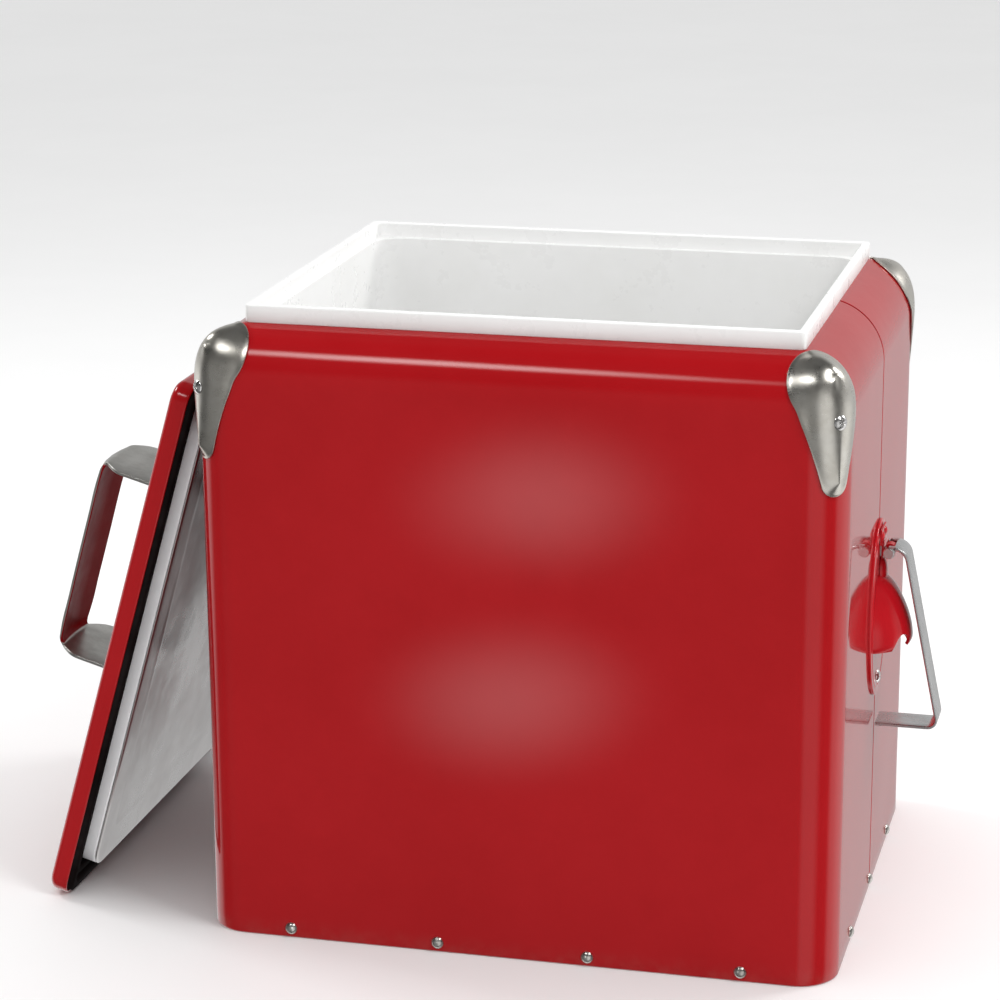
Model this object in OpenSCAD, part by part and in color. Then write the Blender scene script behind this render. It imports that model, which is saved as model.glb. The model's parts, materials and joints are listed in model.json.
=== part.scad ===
// Picnic cooler chest: steel shell in two halves, foam, plastic liner, loose lid, swing handles.
// Millimetres. Origin: centre of the face it stands on. +X to the right, -Y to the front, +Z up.

/* [Chest shell] */
// Length of the chest from side wall to side wall
body_w = 310; // [280:1:380]
// Depth of the chest from front wall to rear wall
body_d = 255; // [230:1:320]
// Height of the steel shell's top, as if it had no opening
body_h = 303.6; // [250:0.1:380]
// Radius of the four upright corners
corner_r = 20; // [18:1:24]
// Radius of the top edge over the side walls
side_top_r = 30; // [26:1:34]
// Radius of the top edge over the front and rear walls
front_top_r = 27; // [25:1:30]
// Thickness of the shell's sheet
shell_t = 1; // [0.8:0.1:1.4]
// How far the rear half slides under the front half at the side seams
seam_lap = 10; // [6:1:16]

/* [Base] */
// Thickness of the base pan's sheet
pan_t = 1; // [0.8:0.1:1.4]
// Height of the base pan's plate above the floor
pan_z = 9; // [8:1:14]
// Height of the row of rivets above the floor
rivet_z = 4.8; // [4:0.1:5.5]
// Distance between two rivets in a row
rivet_pitch = 74; // [60:1:80]
// Radius of a rivet's head
rivet_head_r = 3.1; // [2.6:0.1:3.4]

/* [Liner] */
// Distance from a side wall to the white collar
collar_side = 22; // [20:0.5:26]
// Distance from the front or rear wall to the collar
collar_front = 19.3; // [18:0.1:24]
// Height of the collar above the shell
collar_h = 8.6; // [7:0.1:14]
// Thickness of the collar, with the slot for the shell's edge
collar_t = 3.8; // [3.8:0.1:5]
// Thickness of the tub's walls and floor
tub_t = 1.8; // [1.4:0.1:2.6]
// Height of the tub's floor above the base pan
tub_lift = 16; // [10:1:30]
// Radius of the tub's upright inside corners
tub_r = 14; // [8:1:24]

/* [Corner guards] */
// Radius of the wide end of a guard
guard_r = 18; // [15:0.5:19]
// Radius of the narrow tip of a guard
guard_tip_r = 7; // [5:0.5:9]
// Distance between the centres of the wide end and the tip
guard_l = 40; // [34:1:50]
// How far a guard stands out of the shell
guard_bulge = 2.2; // [2:0.1:3]
// Thickness of a guard's sheet
guard_t = 1; // [0.8:0.1:1.4]

/* [Side handles] */
// Width of the handle's strap
strap_w = 18; // [13:1:22]
// Thickness of the handle's strap
strap_t = 1.6; // [1.4:0.1:2]
// Height of the hinge pin above the floor
hinge_z = 180; // [160:1:200]
// How far the lower corner stands out of the wall
grip_out = 34.5; // [30:0.5:44]
// Height of the grip from the top arm to the lower leg
grip_l = 91; // [80:1:110]
// Radius of the hinge pin
pin_r = 1.3; // [1.1:0.1:1.5]

/* [Opener] */
// Width of the oval plate
plate_w = 62; // [56:1:72]
// Height of the oval plate
plate_h = 90; // [86:1:100]
// Thickness of the oval plate
plate_t = 1.6; // [1.2:0.1:2]
// How far the opener's hood stands out of the wall
hood_out = 18; // [15:0.5:22]
// Height of the opener's hood
hood_h = 36; // [30:1:42]
// Thickness of the hood
hood_t = 1.6; // [1.2:0.1:2]

/* [Lid] */
// How far the lid reaches past the collar on every side
lid_over = 6.5; // [5:0.5:10]
// Depth of the lid's painted skirt
skirt_h = 9.6; // [9:0.1:14]
// Radius of the lid's upright corners
lid_corner_r = 10; // [8:1:16]
// Radius of the lid's outer edge
lid_edge_r = 4; // [3:0.5:6]
// Thickness of the lid's sheet
lid_t = 1; // [0.8:0.1:1.2]
// How far the rubber seal stands below the skirt
seal_drop = 2.6; // [2:0.1:4]
// How far the inner pan stands below the seal
plug_drop = 5; // [4:0.5:9]
// Gap between the inner pan and the tub when the lid is on
plug_gap = 1.5; // [1:0.1:3]
// Lean of the resting lid from the upright
lid_lean = 16; // [14:0.5:20]
// Gap between the resting lid and the chest's side wall
lid_gap = 2.5; // [2.5:0.5:8]
// How far the resting lid stands behind the middle of the chest
lid_shift = 7; // [0:1:12]

/* [Lid handle] */
// Length of the lid handle
lid_grip_l = 107; // [90:1:130]
// Height of the lid handle above the lid
lid_grip_h = 56; // [44:1:60]
// Width of the grip at its middle
lid_grip_w = 42; // [36:1:50]
// Width at the two bends
lid_waist_w = 33; // [26:1:36]
// Width at the feet
lid_foot_w = 52; // [48:1:60]
// Thickness of the lid handle's strap
lid_strap_t = 1.8; // [1.4:0.1:2.4]

/* [Hidden] */
$fn = 64;
slack = 0.05;               // radial gap between a fastener and its hole
gap = 0.1;                  // gap between sheets that slide past each other
foam_gap = 0.2;             // gap between foam and the sheets around it
cut = 1;                    // overrun of cutting tools
far = 1000;                 // longer than anything here

// collar and tub
collar_w = body_w - 2 * collar_side;
collar_d = body_d - 2 * collar_front;
collar_r = 2.6;
// how far a rounded top of radius r has dropped at distance d from its wall
function drop(r, d) = r - sqrt(r * r - pow(max(0, r - d), 2));
seat_z = body_h - min(drop(side_top_r, collar_side), drop(front_top_r, collar_front));
neck_h = collar_h - 2.6;                        // the shell's turned-up edge in the collar
skirt_w = (collar_t - shell_t - 2 * gap) / 2;   // collar's walls on both sides of that edge
neck_out = skirt_w + gap;                       // from the collar's face to the neck's face
tub_in = collar_t + 1.5;                        // from the collar's face to the tub's inner face
tub_floor = pan_z + tub_lift;
ledge_t = 2.4;
rim_z = seat_z + collar_h;

// base
flange_drop = 0.5;
flange_end = corner_r + 8;
emboss_in = 38;
rivet_r = 1.5;
rivet_tail_r = 2.4;
rivet_tail_h = 1;
front_rivets = 4;
side_rivets = 3;
side_pitch = rivet_pitch * 0.92;

// guards
guard_tilt = 30;
guard_top = 13;                                 // top of the wide end above the shell corner's centre
screw_r = 1.8;
screw_head_r = 3.6;
screw_head_h = 1.7;
screw_l = 10;
guard_screw_z = 29.5;                     // below the shell's top
guard_seat = 0.35;                              // the screw's flat seat in the round guard

// side handles
eye_r = 3;
leaf_t = 1;
leaf_w = 16;
knuckle_w = 5;
arm_out = 14;
bend_r = 4;
hinge_x = body_w / 2 + plate_t + leaf_t + eye_r + 0.4;
leaf_low = 5;
leaf_high = 11;
leaf_rivet_y = 5;
tongue_root = leaf_rivet_y + 4;                 // the strip's foot on the rear half, past the rivets
leaf_rivet_z = 7.5;
pin_head_r = 2.4;
pin_head_h = 0.8;
arm_z = hinge_z + eye_r - strap_t / 2;
leg_z = arm_z - grip_l;
leg_gap = 1.6;                                  // lower leg's end to the wall

// opener
plate_z = hinge_z + 14.5 - plate_h / 2;
plate_screw_z = [plate_z - plate_h / 2 + 9, plate_z - 6];
hood_top = hinge_z - eye_r - 8.5;
hood_axis = 9;                                  // the hood's turning axis lies this deep in the wall
hood_rim = hood_top - hood_h;
lip_h = 6;
lip_in = 3.5;
scallop_r = 6;
scallop_a = 36;

// lid, in its own closed frame: z = 0 is the skirt's lower edge, +Z its outer side
lid_w = collar_w + 2 * lid_over;
lid_d = collar_d + 2 * lid_over;
plug_w = collar_w - 2 * tub_in - 2 * plug_gap;
plug_d = collar_d - 2 * tub_in - 2 * plug_gap;
plug_r = tub_r - plug_gap;
plug_t = 0.8;
plug_z = -seal_drop - plug_drop;
plug_rim_z = 4;
seal_in = lid_t + gap;
foot_l = 19;
foot_rivet_x = lid_grip_l / 2 + foot_l / 2 + 1;
foot_rivet_y = lid_foot_w / 2 - 9;
foot_rivet_r = 2;
foot_rivet_head_r = 4;
backing_t = 1.5;
backing_w = lid_foot_w - 4;
backing_l = 16;
lid_bend_r = 6;
leg_taper_z = 38;

// ---- shared shapes ----

// rectangle with four round corners
module roundRect(w, d, r) {
    square([w - 2 * r, d], center = true);
    square([w, d - 2 * r], center = true);
    for (x = [-1, 1], y = [-1, 1])
        translate([x * (w / 2 - r), y * (d / 2 - r)])
            circle(r);
}

// upright plate with that outline, from height z0 to height z1
module slab(w, d, r, z0, z1) {
    translate([0, 0, z0])
        linear_extrude(z1 - z0)
            roundRect(w, d, r);
}

// side view of a box with round top corners
module archRect(w, h, r) {
    translate([-w / 2, 0]) square([w, h - r]);
    translate([r - w / 2, 0]) square([w - 2 * r, h]);
    for (x = [-1, 1])
        translate([x * (w / 2 - r), h - r])
            circle(r);
}

// box with round upright corners, standing on z = 0; its top edge has the radius rx over the
// side walls and ry over the front and rear walls
module softBox(w, d, h, r, rx, ry) {
    intersection() {
        slab(w, d, r, 0, h);
        rotate([90, 0, 0])
            linear_extrude(d + 2 * cut, center = true)
                archRect(w, h, rx);
        rotate([90, 0, 90])
            linear_extrude(w + 2 * cut, center = true)
                archRect(d, h, ry);
    }
}

// the chest's outer form, moved inwards by i (outwards if negative)
module chestForm(i) {
    softBox(body_w - 2 * i, body_d - 2 * i, body_h - i, corner_r - i, side_top_r - i,
        front_top_r - i);
}

// teardrop: round with radius ra at the middle, with radius rb a distance l below it
module teardrop(ra, rb, l) {
    a = asin((ra - rb) / l);
    wide = [for (i = [0 : 24]) let (t = -a + (180 + 2 * a) * i / 24) ra * [cos(t), sin(t)]];
    tip = [for (i = [0 : 12]) let (t = 180 + a + (180 - 2 * a) * i / 12) rb * [cos(t), sin(t)]];
    polygon(concat(wide, [for (q = tip) q - [0, l]]));
}

// points of a round head's side view: radius first, height second, from the rim to the top
function domeRim(r, h) = let (ball = (r * r + h * h) / (2 * h), a = asin(r / ball))
    [for (i = [0 : 6]) [ball * sin(a * (1 - i / 6)), h - ball + ball * cos(a * (1 - i / 6))]];

// turns a side view about the X axis, its height towards +X
module turned(points) {
    rotate([0, 90, 0]) rotate_extrude() polygon(points);
}

module rod(r, x0, x1) {
    translate([x0, 0, 0]) rotate([0, 90, 0]) cylinder(r = r, h = x1 - x0);
}

// rivet through a stack of sheets that is deep thick, head on x = 0 towards +X
module rivet(r, head_r, head_h, tail_r, deep) {
    turned(concat([[0, -deep - rivet_tail_h], [tail_r, -deep - rivet_tail_h], [tail_r, -deep],
        [r, -deep], [r, 0]], domeRim(head_r, head_h)));
}

// cross-head screw, head on x = 0 towards +X
module screw(l) {
    difference() {
        turned(concat([[0, -l], [screw_r, screw_r - l], [screw_r, 0]],
            domeRim(screw_head_r, screw_head_h)));
        for (a = [45, 135])
            rotate([a, 0, 0])
                translate([screw_head_h, 0, 0])
                    cube([1.6, 0.9, 3.4], center = true);
    }
}

function unit(v) = v / norm(v);
// points of the arc of radius r that rounds the corner b between a and c
function roundCorner(a, b, c, r) =
    let (u = unit(a - b), w = unit(c - b), half = acos(u * w) / 2,
        mid = b + unit(u + w) * r / sin(half),
        p = b + u * r / tan(half) - mid, q = b + w * r / tan(half) - mid,
        start = atan2(p.y, p.x),
        turn = (atan2(q.y, q.x) - start + 540) % 360 - 180)
    [for (i = [0 : 8]) mid + r * [cos(start + turn * i / 8), sin(start + turn * i / 8)]];
// a path through corners, each inner one rounded by r
function bentPath(c, r) = let (n = len(c) - 1) concat([c[0]],
    [for (i = [1 : n - 1]) each roundCorner(c[i - 1], c[i], c[i + 1], r)], [c[n]]);
function sideways(p, i) = let (n = len(p) - 1,
    d = unit(p[min(i + 1, n)] - p[max(i - 1, 0)])) [-d.y, d.x];

// side view of a bent strap of thickness t whose middle follows path p
module ribbon(p, t) {
    n = len(p) - 1;
    polygon(concat([for (i = [0 : n]) p[i] + sideways(p, i) * t / 2],
        [for (i = [n : -1 : 0]) p[i] - sideways(p, i) * t / 2]));
}

module mirrorX(on) {
    if (on) mirror([1, 0, 0]) children();
    else children();
}

// ---- chest ----

module rowOfRivets(n, pitch) {
    for (i = [0 : n - 1])
        translate([0, (i - (n - 1) / 2) * pitch, rivet_z])
            children();
}

// one child at every rivet of the base, +X pointing out of the wall
module atBaseRivets() {
    for (a = [0, 180]) {
        rotate([0, 0, a])
            translate([body_w / 2, 0, 0])
                rowOfRivets(side_rivets, side_pitch) children();
        rotate([0, 0, a + 90])
            translate([body_d / 2, 0, 0])
                rowOfRivets(front_rivets, rivet_pitch) children();
    }
}

module atCorners() {
    for (x = [0, 1], y = [0, 1])
        mirror([x, 0, 0]) mirror([0, y, 0]) children();
}

// front right corner's guard screw, +X pointing out along the corner's diagonal
module atGuardScrew() {
    translate([body_w / 2 - corner_r, corner_r - body_d / 2, body_h - guard_screw_z])
        rotate([0, 0, -45])
            translate([corner_r + guard_bulge - guard_seat, 0, 0])
                children();
}

module atPlateScrews() {
    for (z = plate_screw_z)
        translate([body_w / 2 + plate_t, 0, z]) children();
}

module atLeafRivets() {
    for (y = [-1, 1])
        translate([body_w / 2 + plate_t + leaf_t, y * leaf_rivet_y, hinge_z + leaf_rivet_z])
            children();
}

module neckRing(z0, z1) {
    difference() {
        slab(collar_w - 2 * neck_out, collar_d - 2 * neck_out, collar_r - neck_out / 2, z0, z1);
        slab(collar_w - 2 * neck_out - 2 * shell_t, collar_d - 2 * neck_out - 2 * shell_t,
            collar_r - neck_out / 2 - shell_t, z0 - cut, z1 + cut);
    }
}

// the room inside the shell's sheet
module shellHollow() {
    chestForm(shell_t);
    slab(body_w - 2 * shell_t, body_d - 2 * shell_t, corner_r - shell_t, -cut, body_h / 2);
}

// both halves of the shell in one piece, before it is cut at the seams
module wholeShell() {
    difference() {
        union() {
            difference() {
                chestForm(0);
                shellHollow();
                slab(collar_w - 2 * neck_out - shell_t, collar_d - 2 * neck_out - shell_t,
                    collar_r - neck_out / 2 - shell_t / 2, body_h / 2, body_h + cut);
                // flat seat under the collar
                collarSlab(0, seat_z, body_h + cut);
            }
            neckRing(seat_z - 2 * shell_t, seat_z + neck_h);
        }
        wallHoles();
    }
}

// the holes for every rivet and screw that goes through the walls
module wallHoles() {
    atBaseRivets() rod(rivet_r + slack, -shell_t - pan_t - cut, cut);
    atCorners() atGuardScrew() rod(screw_r + slack, -screw_l - slack, cut);
    for (s = [0, 1])
        mirrorX(s == 1) {
            atPlateScrews() rod(screw_r + slack, -screw_l - slack, cut);
            atLeafRivets() rod(rivet_r + slack, -rivetDepth() - cut, cut);
        }
}
// leaf, plate and both halves of the shell, which overlap at the seam
function rivetDepth() = leaf_t + plate_t + 2 * shell_t;

module frontHalf() {
    translate([-far / 2, -far, -far / 2]) cube(far);
}

module rearHalf() {
    translate([-far / 2, 0, -far / 2]) cube(far);
}

module front_shell() {
    color("firebrick")
        intersection() {
            wholeShell();
            frontHalf();
        }
}

// the strip of the rear half that lies under the front half at both seams
module seamTongue() {
    difference() {
        intersection() {
            difference() {
                chestForm(shell_t);
                chestForm(2 * shell_t);
                slab(collar_w, collar_d, collar_r, body_h / 2, body_h + cut);
            }
            translate([-body_w / 2, -seam_lap, pan_z + pan_t + gap])
                cube([body_w, seam_lap + tongue_root, body_h]);
        }
        wallHoles();
    }
}

module rear_shell() {
    color("firebrick") {
        intersection() {
            wholeShell();
            rearHalf();
        }
        seamTongue();
    }
}

module base_pan() {
    in = shell_t + gap;
    w = body_w - 2 * shell_t;
    d = body_d - 2 * shell_t;
    color("gray")
        difference() {
            union() {
                // plate, with a pressed panel that the chest stands on
                difference() {
                    slab(body_w - 2 * in, body_d - 2 * in, corner_r - in, pan_z, pan_z + pan_t);
                    slab(w - 2 * emboss_in - 2 * pan_t, d - 2 * emboss_in - 2 * pan_t,
                        corner_r - pan_t, pan_z - cut, pan_z + pan_t + cut);
                }
                difference() {
                    slab(w - 2 * emboss_in, d - 2 * emboss_in, corner_r, 0, pan_z + pan_t);
                    slab(w - 2 * emboss_in - 2 * pan_t, d - 2 * emboss_in - 2 * pan_t,
                        corner_r - pan_t, pan_t, pan_z + pan_t + cut);
                }
                // four flanges along the walls
                for (s = [-1, 1]) {
                    translate([s * (w - pan_t) / 2, 0, (pan_z + pan_t + flange_drop) / 2])
                        cube([pan_t, body_d - 2 * flange_end, pan_z + pan_t - flange_drop],
                            center = true);
                    translate([0, s * (d - pan_t) / 2, (pan_z + pan_t + flange_drop) / 2])
                        cube([body_w - 2 * flange_end, pan_t, pan_z + pan_t - flange_drop],
                            center = true);
                }
            }
            wallHoles();
        }
}

module base_rivets() {
    color("silver")
        atBaseRivets() rivet(rivet_r, rivet_head_r, 1.8, rivet_tail_r, shell_t + pan_t);
}

// the tub's outline, grown by i, from z0 to z1
module tubSlab(i, z0, z1) {
    slab(collar_w - 2 * tub_in + 2 * i, collar_d - 2 * tub_in + 2 * i, tub_r + i, z0, z1);
}

// the collar's outline, moved inwards by i
module collarSlab(i, z0, z1) {
    slab(collar_w - 2 * i, collar_d - 2 * i, collar_r - i / 2, z0, z1);
}

module liner() {
    color("white")
        difference() {
            union() {
                collarSlab(0, seat_z, rim_z);
                collarSlab(collar_t - skirt_w, seat_z - ledge_t, rim_z);
                tubSlab(tub_t, tub_floor, seat_z);
            }
            collarSlab(collar_t, seat_z, rim_z + cut);
            tubSlab(0, tub_floor + tub_t, rim_z);
            // slot that sits on the shell's turned-up edge
            difference() {
                collarSlab(skirt_w, seat_z - cut, seat_z + neck_h + gap);
                collarSlab(collar_t - skirt_w, seat_z - 2 * ledge_t, rim_z);
            }
        }
}

module body_insulation() {
    color("khaki")
        difference() {
            intersection() {
                chestForm(2 * shell_t + foam_gap);
                translate([-far / 2, -far / 2, pan_z + pan_t])
                    cube([far, far, body_h - 2 * shell_t - foam_gap - pan_z - pan_t]);
            }
            tubSlab(tub_t + foam_gap, tub_floor, body_h + cut);
            collarSlab(0, seat_z - ledge_t - foam_gap, body_h + cut);
            atCorners() atGuardScrew() rod(screw_r + 1, -screw_l - 1, 0);
            for (s = [0, 1])
                mirrorX(s == 1) {
                    atPlateScrews() rod(screw_r + 1, -screw_l - 1, 0);
                    atLeafRivets() rod(rivet_tail_r + 1, -rivetDepth() - 2, 0);
                }
        }
}

// teardrop block along the front right corner's diagonal, its edge moved inwards by i
module guardBlock(i) {
    translate([body_w / 2, -body_d / 2, body_h])
        rotate([0, 0, -45])
            rotate([0, -guard_tilt, 0])
                translate([-60, 0, guard_top - guard_r])
                    rotate([90, 0, 90])
                        linear_extrude(120)
                            teardrop(guard_r - i, guard_tip_r - i, guard_l);
}

// domed sheet-metal cap over the front right top corner
module cornerGuard() {
    color("silver")
        difference() {
            intersection() {
                chestForm(-guard_bulge);
                guardBlock(0);
            }
            chestForm(0);
            intersection() {
                chestForm(guard_t - guard_bulge);
                guardBlock(guard_t);
            }
            atGuardScrew() rod(screw_r + slack, -screw_l, cut);
            atGuardScrew() rod(screw_head_r + gap, 0, cut);
        }
}

module guard_front_right() { cornerGuard(); }
module guard_front_left() { mirror([1, 0, 0]) cornerGuard(); }
module guard_rear_right() { mirror([0, 1, 0]) cornerGuard(); }
module guard_rear_left() { mirror([1, 0, 0]) mirror([0, 1, 0]) cornerGuard(); }

module guard_screws() {
    color("silver")
        atCorners() atGuardScrew() screw(screw_l);
}

// ---- side walls ----

// oval plate on the right wall
module ovalPlate() {
    difference() {
        translate([body_w / 2, 0, plate_z])
            rotate([90, 0, 90])
                linear_extrude(plate_t)
                    ovalShape(plate_w / 2, plate_h / 2);
        atPlateScrews() rod(screw_r + slack, -plate_t - cut, cut);
        atLeafRivets() rod(rivet_r + slack, -rivetDepth(), cut);
    }
}

// ellipse of half-width a and half-height b
module ovalShape(a, b) {
    n = 96;
    polygon([for (i = [0 : n - 1]) [a * cos(360 * i / n), b * sin(360 * i / n)]]);
}

module opener_plate() {
    color("firebrick") ovalPlate();
}

module left_plate() {
    color("firebrick") mirror([1, 0, 0]) ovalPlate();
}

// radius of the hood at height z, i further in
function hoodRadius(z, i) = hood_axis + hood_out - i
    - (hood_out - 1) * pow(max(0, z - hood_rim - lip_h) / (hood_h - lip_h), 2)
    - lip_in * pow(max(0, hood_rim + lip_h - z) / lip_h, 2);

// half profile of the hood, i further in
module hoodProfile(i) {
    n = 12;
    polygon(concat([[0, hood_rim - i * cut], [hoodRadius(hood_rim, i), hood_rim - i * cut]],
        [for (k = [0 : n]) let (z = hood_rim + (hood_h - i) * k / n) [hoodRadius(z, i), z]],
        [[0, hood_top - i]]));
}

module bottle_opener() {
    color("firebrick")
        intersection() {
            translate([body_w / 2 - hood_axis, 0, 0])
                difference() {
                    rotate_extrude() hoodProfile(0);
                    rotate_extrude() hoodProfile(hood_t);
                    for (a = [-scallop_a, scallop_a])
                        translate([0, 0, hood_rim + lip_h / 3])
                            rotate([0, 90, a])
                                cylinder(r = scallop_r, h = far / 10);
                }
            translate([body_w / 2 + plate_t, -far / 2, 0]) cube(far);
        }
}

module opener_screws() {
    color("silver") atPlateScrews() screw(screw_l);
}

module left_plate_screws() {
    color("silver") mirror([1, 0, 0]) atPlateScrews() screw(screw_l);
}

// leaf on the plate with the middle knuckle of the hinge
module hingeBracket() {
    x0 = body_w / 2 + plate_t;
    difference() {
        union() {
            translate([x0, -leaf_w / 2, hinge_z + eye_r + gap])
                cube([leaf_t, leaf_w, leaf_high - eye_r]);
            translate([x0, -knuckle_w / 2, hinge_z - leaf_low])
                cube([leaf_t, knuckle_w, leaf_low + eye_r + cut]);
            translate([x0, -knuckle_w / 2, hinge_z - eye_r])
                cube([hinge_x - x0, knuckle_w, eye_r]);
            translate([hinge_x, 0, hinge_z])
                rotate([90, 0, 0])
                    cylinder(r = eye_r, h = knuckle_w, center = true);
        }
        translate([hinge_x, 0, hinge_z])
            rotate([90, 0, 0])
                cylinder(r = pin_r + slack, h = strap_w, center = true);
        atLeafRivets() rod(rivet_r + slack, -leaf_t - cut, cut);
    }
}

module hingeRivets() {
    atLeafRivets() rivet(rivet_r, 2.3, 1, rivet_tail_r, rivetDepth());
}

module hingePin() {
    half = strap_w / 2 + slack * 4;
    translate([hinge_x, 0, hinge_z])
        rotate([90, 0, 0]) {
            cylinder(r = pin_r, h = 2 * half, center = true);
            for (s = [-1, 1])
                translate([0, 0, s * (half + pin_head_h / 2)])
                    cylinder(r = pin_head_r, h = pin_head_h, center = true);
        }
}

// swinging strap: two knuckles, a short arm, the slanting grip and the lower leg
module swingHandle() {
    wall = body_w / 2;
    corner = [wall + grip_out - strap_t / 2, leg_z];
    path = bentPath([[hinge_x, arm_z], [wall + arm_out, arm_z], corner,
        [wall + leg_gap, leg_z]], bend_r);
    difference() {
        union() {
            rotate([90, 0, 0])
                linear_extrude(strap_w, center = true)
                    ribbon(path, strap_t);
            translate([hinge_x, 0, hinge_z])
                rotate([90, 0, 0])
                    cylinder(r = eye_r, h = strap_w, center = true);
        }
        translate([hinge_x, 0, hinge_z])
            rotate([90, 0, 0]) {
                cylinder(r = pin_r + slack, h = strap_w + cut, center = true);
                cylinder(r = eye_r + 0.6, h = knuckle_w + 0.8, center = true);
            }
    }
}

module right_hinge_bracket() { color("silver") hingeBracket(); }
module right_hinge_rivets() { color("silver") hingeRivets(); }
module right_hinge_pin() { color("silver") hingePin(); }
module right_handle() { color("silver") swingHandle(); }
module left_hinge_bracket() { color("silver") mirror([1, 0, 0]) hingeBracket(); }
module left_hinge_rivets() { color("silver") mirror([1, 0, 0]) hingeRivets(); }
module left_hinge_pin() { color("silver") mirror([1, 0, 0]) hingePin(); }
module left_handle() { color("silver") mirror([1, 0, 0]) swingHandle(); }

// ---- lid ----

// puts a part of the lid, drawn in its closed frame, where the loose lid leans
module leaning() {
    translate([lidX(), lid_shift, lid_w / 2 * cos(lid_lean)])
        rotate([0, lid_lean - 90, 0])
            children();
}
// the inner pan's upper edge comes nearest to the side wall
function lidX() = -body_w / 2 - lid_gap - plug_w / 2 * sin(lid_lean) + plug_z * cos(lid_lean);

module lidHoles() {
    for (x = [-1, 1], y = [-1, 1])
        translate([x * foot_rivet_x, y * foot_rivet_y, skirt_h - lid_t - backing_t - cut])
            cylinder(r = foot_rivet_r + slack, h = lid_t + backing_t + lid_strap_t + 2 * cut);
}

module lid_pan() {
    color("firebrick")
        leaning()
            difference() {
                softBox(lid_w, lid_d, skirt_h, lid_corner_r, lid_edge_r, lid_edge_r);
                softBox(lid_w - 2 * lid_t, lid_d - 2 * lid_t, skirt_h - lid_t,
                    lid_corner_r - lid_t, lid_edge_r - lid_t, lid_edge_r - lid_t);
                slab(lid_w - 2 * lid_t, lid_d - 2 * lid_t, lid_corner_r - lid_t, -cut, cut);
                lidHoles();
            }
}

module lid_seal() {
    color("black")
        leaning()
            difference() {
                slab(lid_w - 2 * seal_in, lid_d - 2 * seal_in, lid_corner_r - seal_in,
                    -seal_drop, plug_rim_z);
                slab(plug_w + 2 * gap, plug_d + 2 * gap, plug_r + gap,
                    -seal_drop - cut, plug_rim_z + cut);
            }
}

module lid_inner_pan() {
    color("gainsboro")
        leaning() {
            difference() {
                slab(plug_w, plug_d, plug_r, plug_z, plug_rim_z + plug_t);
                slab(plug_w - 2 * plug_t, plug_d - 2 * plug_t, plug_r - plug_t,
                    plug_z + plug_t, plug_rim_z + plug_t + cut);
            }
            difference() {
                slab(lid_w - 2 * seal_in, lid_d - 2 * seal_in, lid_corner_r - seal_in,
                    plug_rim_z, plug_rim_z + plug_t);
                slab(plug_w - 2 * plug_t, plug_d - 2 * plug_t, plug_r - plug_t,
                    plug_rim_z - cut, plug_rim_z + plug_t + cut);
            }
        }
}

module lid_insulation() {
    in = plug_t + foam_gap;
    color("khaki")
        leaning()
            difference() {
                slab(plug_w - 2 * in, plug_d - 2 * in, plug_r - in,
                    plug_z + plug_t, skirt_h - lid_t);
                for (x = [-1, 1])
                    translate([x * foot_rivet_x, 0, skirt_h - lid_t])
                        cube([backing_l + 2, backing_w + 2, 2 * (backing_t + rivet_tail_h + 1)],
                            center = true);
            }
}

// bent strap with a wide grip, two waists and wide feet
module lid_handle() {
    half = lid_grip_l / 2 - lid_strap_t / 2;
    top = lid_grip_h - lid_strap_t / 2;
    foot = lid_strap_t / 2;
    path = bentPath([[-half - foot_l, foot], [-half, foot], [-half, top], [half, top],
        [half, foot], [half + foot_l, foot]], lid_bend_r - lid_strap_t / 2);
    color("silver")
        leaning()
            translate([0, 0, skirt_h])
                difference() {
                    intersection() {
                        rotate([90, 0, 0])
                            linear_extrude(lid_foot_w + cut, center = true)
                                ribbon(path, lid_strap_t);
                        union() {
                            gripOutline(top);
                            legOutline();
                        }
                    }
                    translate([0, 0, -skirt_h]) lidHoles();
                }
}

// width of the grip, seen from above: full at its middle, narrow at the bends
module gripOutline(top) {
    n = 12;
    half = lid_grip_l / 2;
    function wide(x) = lid_waist_w / 2
        + (lid_grip_w - lid_waist_w) / 2 * pow(cos(90 * min(1, abs(x) / half)), 0.3);
    xs = [for (i = [-n : n]) half * i / n];
    translate([0, 0, top - lid_bend_r])
        linear_extrude(2 * lid_bend_r)
            polygon(concat([for (x = xs) [x, wide(x)]],
                [for (i = [len(xs) - 1 : -1 : 0]) [xs[i], -wide(xs[i])]]));
}

// width of the legs, seen from the end: narrow at the bends, wide at the feet
module legOutline() {
    w = lid_waist_w / 2;
    f = lid_foot_w / 2;
    z1 = lid_grip_h - lid_bend_r;
    rotate([90, 0, 90])
        linear_extrude(far / 2, center = true)
            polygon([[-f, -cut], [f, -cut], [f, leg_taper_z], [w, z1], [w, lid_grip_h + cut],
                [-w, lid_grip_h + cut], [-w, z1], [-f, leg_taper_z]]);
}

module lid_handle_rivets() {
    stack = lid_strap_t + lid_t + backing_t;
    color("silver")
        leaning()
            for (x = [-1, 1], y = [-1, 1])
                translate([x * foot_rivet_x, y * foot_rivet_y, skirt_h + lid_strap_t])
                    rotate([0, -90, 0])
                        rivet(foot_rivet_r, foot_rivet_head_r, 1.6, foot_rivet_r + 1, stack);
}

module lid_backing_plates() {
    color("gray")
        leaning()
            difference() {
                for (x = [-1, 1])
                    translate([x * foot_rivet_x, 0, skirt_h - lid_t - backing_t / 2])
                        cube([backing_l, backing_w, backing_t], center = true);
                lidHoles();
            }
}

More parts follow.
